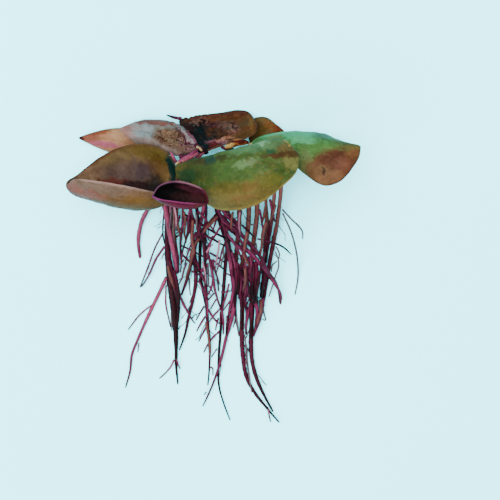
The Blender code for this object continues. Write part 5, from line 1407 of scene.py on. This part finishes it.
class FloaterRootSettings(bpy.types.PropertyGroup):
    sides: IntProperty(name="Sides", description="Faces round a root", default=12, min=6, max=24)
    step: FloatProperty(
        name="Step", description="Length of one face along a root",
        default=0.00025, min=0.0001, max=0.001, precision=5, unit="LENGTH",
    )
    bumps: FloatProperty(
        name="Bumps", description="How knobbly the roots are", default=0.14, min=0.0, max=0.4, subtype="FACTOR",
    )
    pink: FloatVectorProperty(
        name="Pink", description="Roots in the light", size=4, default=colour("532032"), min=0.0, max=1.0,
        subtype="COLOR",
    )
    brown: FloatVectorProperty(
        name="Brown", description="Old roots", size=4, default=colour("472724"), min=0.0, max=1.0, subtype="COLOR",
    )
    maroon: FloatVectorProperty(
        name="Maroon", description="Roots lower down", size=4, default=colour("260311"), min=0.0, max=1.0,
        subtype="COLOR",
    )
    purple: FloatVectorProperty(
        name="Purple", description="Thin side roots", size=4, default=colour("3d1125"), min=0.0, max=1.0,
        subtype="COLOR",
    )
    pale: FloatVectorProperty(
        name="Pale", description="Young roots out at the side", size=4, default=colour("382d32"), min=0.0, max=1.0,
        subtype="COLOR",
    )
    rust: FloatVectorProperty(
        name="Rust", description="Brown side roots", size=4, default=colour("391d1b"), min=0.0, max=1.0,
        subtype="COLOR",
    )
    # Pale lilac side roots, partly their own colour and partly painted highlight among the roots
    lilac: FloatVectorProperty(
        name="Lilac", description="Palest young side roots", size=4, default=colour("684150"), min=0.0, max=1.0,
        subtype="COLOR",
    )
    dark: FloatVectorProperty(
        name="Dark", description="Root tips", size=4, default=colour("0e0204"), min=0.0, max=1.0, subtype="COLOR",
    )
    rootlet_spacing: FloatProperty(
        name="Rootlet spacing", description="Distance between fine rootlets along a root",
        default=0.0016, min=0.0005, max=0.01, precision=5, unit="LENGTH",
    )
    rootlet_length: FloatProperty(
        name="Rootlet length", description="Length of the longest fine rootlet",
        default=0.0045, min=0.001, max=0.008, precision=5, unit="LENGTH",
    )
    rootlet_radius: FloatProperty(
        name="Rootlet radius", description="Radius of a fine rootlet",
        default=0.00009, min=0.00002, max=0.0002, precision=6, unit="LENGTH",
    )
    seed: IntProperty(name="Seed", description="Another scatter of fine rootlets", default=4, min=0)


class FloaterStemSettings(bpy.types.PropertyGroup):
    skin: FloatVectorProperty(
        name="Skin", description="Stem and leaf stalks", size=4, default=colour("52212d"), min=0.0, max=1.0,
        subtype="COLOR",
    )
    # Pale cut end of the stem, partly its scar and partly painted highlight; it also colours the cream
    # painted-highlight blobs
    scar_and_highlight: FloatVectorProperty(
        name="Scar and highlight", description="Cut end of the stem", size=4, default=colour("5f4d32"), min=0.0, max=1.0,
        subtype="COLOR",
    )


class FloaterStageSettings(bpy.types.PropertyGroup):
    floor: FloatVectorProperty(
        name="Floor", description="Colour of the floor", size=4, default=(0.2, 0.84, 0.96, 1.0), min=0.0, max=1.0,
        subtype="COLOR",
    )
    key: FloatProperty(name="Key light", description="Power of the large light", default=28.0, min=0.0, unit="POWER")
    ambient: FloatProperty(name="Ambient", description="Strength of the light all round", default=1.6, min=0.0)


# --- operators


class FLOATER_OT_add_leaves(bpy.types.Operator):
    """Adds the eight open leaves"""

    bl_idname = "floater.add_leaves"
    bl_label = "Add Leaves"

    def execute(self, context):
        settings = context.scene.floater_leaves
        for name, leaf in LEAVES.items():
            material = leaf_material(f"{name}_skin", LEAF_LOOKS[name], settings.roughness)
            mesh = leaf_mesh(name, leaf, settings.thickness, settings.steps_long, settings.steps_wide, material)
            add_piece(f"{name}_blade", mesh, name, name)
        return {"FINISHED"}


class FLOATER_OT_add_rolled_leaf(bpy.types.Operator):
    """Adds the young leaf that is still rolled up"""

    bl_idname = "floater.add_rolled_leaf"
    bl_label = "Add Rolled Leaf"

    def execute(self, context):
        settings = context.scene.floater_leaves
        material = leaf_material("leaf_rolled_skin", LEAF_LOOKS["leaf_rolled"], settings.roughness)
        mesh = rolled_leaf_mesh(settings.thickness * 0.6, material)
        add_piece("leaf_rolled_blade", mesh, "leaf_rolled", "leaf_rolled")
        return {"FINISHED"}


class FLOATER_OT_add_stem(bpy.types.Operator):
    """Adds the short stem and the leaf stalks"""

    bl_idname = "floater.add_stem"
    bl_label = "Add Stem and Stalks"

    def execute(self, context):
        settings = context.scene.floater_stem
        material = stem_material("stem_skin", settings.skin, settings.scar_and_highlight)
        line, radii = bumpy_tube(STEM_ROUTE, STEM_RADIUS, 0.12, 0.2)
        add_piece("stem_body", tubes_mesh("stem", [(line, radii)], 24, material), "stem", "stem")
        for name, route in STALKS.items():
            line, radii = bumpy_tube(route, STALK_RADIUS, 0.1, 0.12)
            mesh = tubes_mesh(name, [(line, radii)], 16, material)
            add_piece(f"{name}_body", mesh, "leaf_stalk", name)
        materials = root_materials(context.scene.floater_roots)
        # The cream blobs, painted highlights, take the scar colour
        materials["cream"] = root_material("sheath_cream", *[tuple(settings.scar_and_highlight)] * 3)
        for look, routes in SHEATHS_AND_PAINTED_LIGHT.items():
            tubes = [root_tube(np.array(route), 0.1, 0.25) for route in routes]
            add_piece(f"sheaths_{look}", tubes_mesh(f"sheaths_{look}", tubes, 12, materials[look]), "leaf_stalk")
        return {"FINISHED"}


class FLOATER_OT_add_main_roots(bpy.types.Operator):
    """Adds the long roots, each in the place of its solid"""

    bl_idname = "floater.add_main_roots"
    bl_label = "Add Main Roots"

    def execute(self, context):
        settings = context.scene.floater_roots
        courses = lay_roots()
        materials = root_materials(settings)
        for name in ROOTS:
            line, radii = root_tube(courses[name], settings.step / MM, settings.bumps)
            mesh = tubes_mesh(name, [(line, radii)], settings.sides, materials[ROOT_LOOKS.get(name, "pink")])
            add_piece(f"{name}_skin", mesh, "root", name)
        return {"FINISHED"}


class FLOATER_OT_add_side_roots(bpy.types.Operator):
    """Adds the thin roots that branch off the long ones"""

    bl_idname = "floater.add_side_roots"
    bl_label = "Add Side Roots"

    def execute(self, context):
        settings = context.scene.floater_roots
        courses = lay_roots()
        materials = root_materials(settings)
        for look in SIDE_ROOTS:
            name = f"side_roots_{look}"
            tubes = [
                root_tube(course, settings.step / MM, settings.bumps)
                for label, course in courses.items()
                if label.startswith(name)
            ]
            add_piece(name, tubes_mesh(name, tubes, 8, materials[look]), "root")
        return {"FINISHED"}


class FLOATER_OT_add_rootlets(bpy.types.Operator):
    """Adds the finest rootlets with Geometry Nodes"""

    bl_idname = "floater.add_rootlets"
    bl_label = "Add Fine Rootlets"

    def execute(self, context):
        settings = context.scene.floater_roots
        material = root_materials(settings)["purple"]
        places, edges = [], []
        for name, course in lay_roots().items():
            if name not in ROOTLET_ROOTS:
                continue
            line, _ = root_tube(course, 0.5, 0.0)
            line = line[len(line) // 5 : -len(line) // 6]
            edges += [(len(places) + i, len(places) + i + 1) for i in range(len(line) - 1)]
            places += [tuple(place) for place in line]
        mesh = bpy.data.meshes.new("rootlet_lines")
        mesh.from_pydata(places, edges, [])
        lines = bpy.data.objects.new("rootlet_lines", mesh)
        context.scene.collection.objects.link(lines)
        tree = rootlet_tree()
        modifier = lines.modifiers.new("rootlets", "NODES")
        modifier.node_group = tree
        values = {
            "Spacing": settings.rootlet_spacing,
            "Length": settings.rootlet_length,
            "Radius": settings.rootlet_radius,
            "Seed": settings.seed,
            "Material": material,
        }
        for item in tree.interface.items_tree:
            if item.in_out == "INPUT" and item.name in values:
                modifier[item.identifier] = values[item.name]
        graph = context.evaluated_depsgraph_get()
        made = bpy.data.meshes.new_from_object(lines.evaluated_get(graph), depsgraph=graph)
        bpy.data.objects.remove(lines)
        if not made.polygons:
            raise RuntimeError("No fine rootlets were made")
        made.name = "fine_rootlets"
        add_piece("fine_rootlets", made, "root")
        return {"FINISHED"}


class FLOATER_OT_add_stage(bpy.types.Operator):
    """Adds the pale floor, soft light and the camera"""

    bl_idname = "floater.add_stage"
    bl_label = "Add Stage"

    def execute(self, context):
        settings = context.scene.floater_stage
        add_floor(settings.floor)
        add_lights(settings.key, settings.ambient)
        add_camera()
        return {"FINISHED"}


def root_materials(settings):
    """The root skins, made once."""
    names = ("pink", "brown", "purple", "pale", "maroon", "dark", "rust", "lilac")
    pink, brown, purple, pale, maroon, dark, rust, lilac = (tuple(getattr(settings, name)) for name in names)
    looks = {
        "pink": (pink, purple, maroon),
        "rose": (pink, pink, purple),
        "maroon": (purple, maroon, dark),
        "brown": (brown, maroon, dark),
        "dark": (maroon, dark, dark),
        "purple": (purple, purple, maroon),
        "pale": (pale, pale, pale),
        "rust": (rust, rust, maroon),
        "lilac": (lilac, lilac, pale),
    }
    return {
        look: bpy.data.materials.get(f"root_{look}") or root_material(f"root_{look}", *colours)
        for look, colours in looks.items()
    }


def rootlet_tree():
    """A Geometry Nodes tree that sets fine bent rootlets along lines."""
    tree = bpy.data.node_groups.new("rootlets", "GeometryNodeTree")
    sockets = [
        ("Geometry", "NodeSocketGeometry", None), ("Spacing", "NodeSocketFloat", 0.0016),
        ("Length", "NodeSocketFloat", 0.0045), ("Radius", "NodeSocketFloat", 0.00009),
        ("Spread", "NodeSocketFloat", 0.9), ("Share", "NodeSocketFloat", 0.55),
        ("Seed", "NodeSocketInt", 4), ("Material", "NodeSocketMaterial", None),
    ]
    for label, kind, default in sockets:
        socket = tree.interface.new_socket(label, in_out="INPUT", socket_type=kind)
        if default is not None:
            socket.default_value = default
    tree.interface.new_socket("Geometry", in_out="OUTPUT", socket_type="NodeSocketGeometry")
    given = tree.nodes.new("NodeGroupInput").outputs
    put = tree.nodes.new("NodeGroupOutput").inputs

    lines = add_node(tree, "GeometryNodeMeshToCurve", {"Mesh": given["Geometry"]}).outputs[0]
    points = add_node(
        tree, "GeometryNodeResampleCurve", {"Curve": lines, "Length": given["Spacing"]}, mode="LENGTH"
    ).outputs[0]
    shape = add_node(tree, "GeometryNodeCurvePrimitiveLine", {"End": (0.0, -1.0, 0.0)}).outputs[0]
    shape = add_node(tree, "GeometryNodeResampleCurve", {"Curve": shape, "Count": 7}).outputs[0]
    along = tree.nodes.new("GeometryNodeSplineParameter").outputs["Factor"]
    shape = add_node(
        tree, "GeometryNodeStoreNamedAttribute", {"Geometry": shape, "Name": "along", "Value": along},
        data_type="FLOAT", domain="POINT",
    ).outputs[0]
    shape = add_node(
        tree, "GeometryNodeSetCurveRadius", {"Curve": shape, "Radius": ease(tree, along, 0.0, 1.0, 1.0, 0.45)}
    ).outputs[0]
    thickness = maths(tree, "DIVIDE", given["Radius"], given["Length"])
    ring = add_node(tree, "GeometryNodeCurvePrimitiveCircle", {"Resolution": 5, "Radius": thickness}).outputs[0]
    shape = add_node(
        tree, "GeometryNodeCurveToMesh", {"Curve": shape, "Profile Curve": ring, "Fill Caps": True}
    ).outputs[0]

    chosen = add_node(
        tree, "FunctionNodeRandomValue", {"Probability": given["Share"], "Seed": given["Seed"]}, data_type="BOOLEAN"
    ).outputs[3]
    turn_low = add_node(
        tree, "ShaderNodeCombineXYZ", {"X": 0.02, "Z": maths(tree, "MULTIPLY", given["Spread"], -1.0)}
    ).outputs[0]
    turn_high = add_node(tree, "ShaderNodeCombineXYZ", {"X": 0.16, "Z": given["Spread"]}).outputs[0]
    seed_turn = maths(tree, "ADD", given["Seed"], 1.0)
    turn = add_node(
        tree, "FunctionNodeRandomValue", {0: turn_low, 1: turn_high, "Seed": seed_turn}, data_type="FLOAT_VECTOR"
    ).outputs[0]
    seed_size = maths(tree, "ADD", given["Seed"], 2.0)
    shortest = maths(tree, "MULTIPLY", given["Length"], 0.35)
    size = add_node(
        tree, "FunctionNodeRandomValue", {2: shortest, 3: given["Length"], "Seed": seed_size}, data_type="FLOAT"
    ).outputs[1]
    placed = add_node(
        tree, "GeometryNodeInstanceOnPoints",
        {"Points": points, "Selection": chosen, "Instance": shape, "Rotation": turn, "Scale": size},
    ).outputs[0]
    real = add_node(tree, "GeometryNodeRealizeInstances", {"Geometry": placed}).outputs[0]

    stored = add_node(tree, "GeometryNodeInputNamedAttribute", {"Name": "along"}, data_type="FLOAT").outputs[0]
    place = tree.nodes.new("GeometryNodeInputPosition").outputs[0]
    swirl = add_node(tree, "ShaderNodeTexNoise", {"Vector": place, "Scale": 420.0, "Detail": 1.0}).outputs["Color"]
    swirl = vector_maths(tree, "MULTIPLY", vector_maths(tree, "SUBTRACT", swirl, (0.5, 0.5, 0.5)), (0.003, 0.003, 0.0))
    bend = add_node(tree, "ShaderNodeVectorMath", {0: swirl, "Scale": stored}, operation="SCALE").outputs[0]
    bent = add_node(tree, "GeometryNodeSetPosition", {"Geometry": real, "Offset": bend}).outputs[0]
    above = vector_maths(tree, "MAXIMUM", tree.nodes.new("GeometryNodeInputPosition").outputs[0], (-1.0, -1.0, 0.00003))
    bent = add_node(tree, "GeometryNodeSetPosition", {"Geometry": bent, "Position": above}).outputs[0]
    smooth = add_node(tree, "GeometryNodeSetShadeSmooth", {"Geometry": bent}).outputs[0]
    done = add_node(tree, "GeometryNodeSetMaterial", {"Geometry": smooth, "Material": given["Material"]}).outputs[0]
    tree.links.new(done, put["Geometry"])
    return tree


# --- stage


def add_floor(shade):
    """A wide pale floor with the faintest clouding."""
    bpy.ops.mesh.primitive_plane_add(size=2.0, location=(0.0, 0.0, 0.0))
    floor = bpy.context.object
    floor.name = "floor"
    floor.location.z = -0.00002
    material, tree, shader, place = start_material("floor_paint")
    clouds = ease(tree, blotches(tree, place, 0.01, 2.0), 0.3, 0.7, 0.985, 1.0)
    tree.links.new(vector_maths(tree, "MULTIPLY", tuple(shade)[:3], clouds), shader.inputs["Base Color"])
    shader.inputs["Roughness"].default_value = 0.9
    shader.inputs["Specular IOR Level"].default_value = 0.1
    floor.data.materials.append(material)


def add_lights(key, ambient):
    """One large soft light from above the leaves, a weaker one from the left, and light all round."""
    for name, place, size, power in (
        ("key_light", (-0.10, 0.28, 0.70), 0.7, key),
        ("fill_light", (-0.45, -0.35, 0.50), 0.6, key * 0.4),
    ):
        lamp = bpy.data.lights.new(name, "AREA")
        lamp.size = size
        lamp.energy = power
        light = bpy.data.objects.new(name, lamp)
        light.location = place
        light.rotation_euler = (-Vector(place)).to_track_quat("-Z", "Y").to_euler()
        bpy.context.scene.collection.objects.link(light)
    world = bpy.data.worlds.new("soft_room")
    world.use_nodes = True
    background = world.node_tree.nodes["Background"]
    background.inputs["Color"].default_value = colour("e8faff")
    background.inputs["Strength"].default_value = ambient
    bpy.context.scene.world = world


def add_camera():
    """The camera on the line of sight, as far off as the plant was seen from."""
    target = np.array([LOOK_CENTRE[0] - BOX_MIDDLE[0], -BOX_MIDDLE[1], STEM_HEIGHT]) + LOOK_CENTRE[1] * DRAWN_UP
    place = target + LOOK_DISTANCE * TO_EYE
    across = Vector((1.0, 0.0, 0.0))
    turn = Matrix((across, Vector(DRAWN_UP), Vector(TO_EYE))).transposed()
    lens = bpy.data.cameras.new("camera")
    lens.angle = 2 * math.atan(HALF_VIEW / LOOK_DISTANCE)
    lens.clip_start = 0.005
    camera = bpy.data.objects.new("camera", lens)
    camera.matrix_world = Matrix.Translation(Vector(place * MM)) @ turn.to_4x4()
    bpy.context.scene.collection.objects.link(camera)
    bpy.context.scene.camera = camera


# --- panel and running


class FLOATER_PT_sidebar(bpy.types.Panel):
    """Sizes, colours and steps of the floater"""

    bl_idname = "FLOATER_PT_sidebar"
    bl_label = "Red Root Floater"
    bl_space_type = "VIEW_3D"
    bl_region_type = "UI"
    bl_category = "Floater"

    def draw(self, context):
        for group, operators in STEPS.items():
            box = self.layout.box()
            settings = getattr(context.scene, group)
            for label in settings.bl_rna.properties.keys():
                if label not in ("rna_type", "name"):
                    box.prop(settings, label)
            for operator in operators:
                box.operator(operator)


STEPS = {
    "floater_stage": ["floater.add_stage"],
    "floater_leaves": ["floater.add_leaves", "floater.add_rolled_leaf"],
    "floater_stem": ["floater.add_stem"],
    "floater_roots": ["floater.add_main_roots", "floater.add_side_roots", "floater.add_rootlets"],
}
SETTINGS = {
    "floater_leaves": FloaterLeafSettings,
    "floater_roots": FloaterRootSettings,
    "floater_stem": FloaterStemSettings,
    "floater_stage": FloaterStageSettings,
}
CLASSES = (
    *SETTINGS.values(),
    FLOATER_OT_add_stage,
    FLOATER_OT_add_leaves,
    FLOATER_OT_add_rolled_leaf,
    FLOATER_OT_add_stem,
    FLOATER_OT_add_main_roots,
    FLOATER_OT_add_side_roots,
    FLOATER_OT_add_rootlets,
    FLOATER_PT_sidebar,
)


def register():
    for cls in CLASSES:
        bpy.utils.register_class(cls)
    for group, settings in SETTINGS.items():
        setattr(bpy.types.Scene, group, PointerProperty(type=settings))


def unregister():
    for group in SETTINGS:
        delattr(bpy.types.Scene, group)
    for cls in reversed(CLASSES):
        bpy.utils.unregister_class(cls)


def main():
    register()
    build_soft_patch()
    build_leaf_grain()
    build_leaf_veins()
    build_dry_net_and_painted_light()
    build_root_skin()
    bpy.ops.floater.add_stage()
    bpy.ops.floater.add_leaves()
    bpy.ops.floater.add_rolled_leaf()
    bpy.ops.floater.add_stem()
    bpy.ops.floater.add_main_roots()
    bpy.ops.floater.add_side_roots()
    bpy.ops.floater.add_rootlets()


if __name__ == "__main__":
    main()
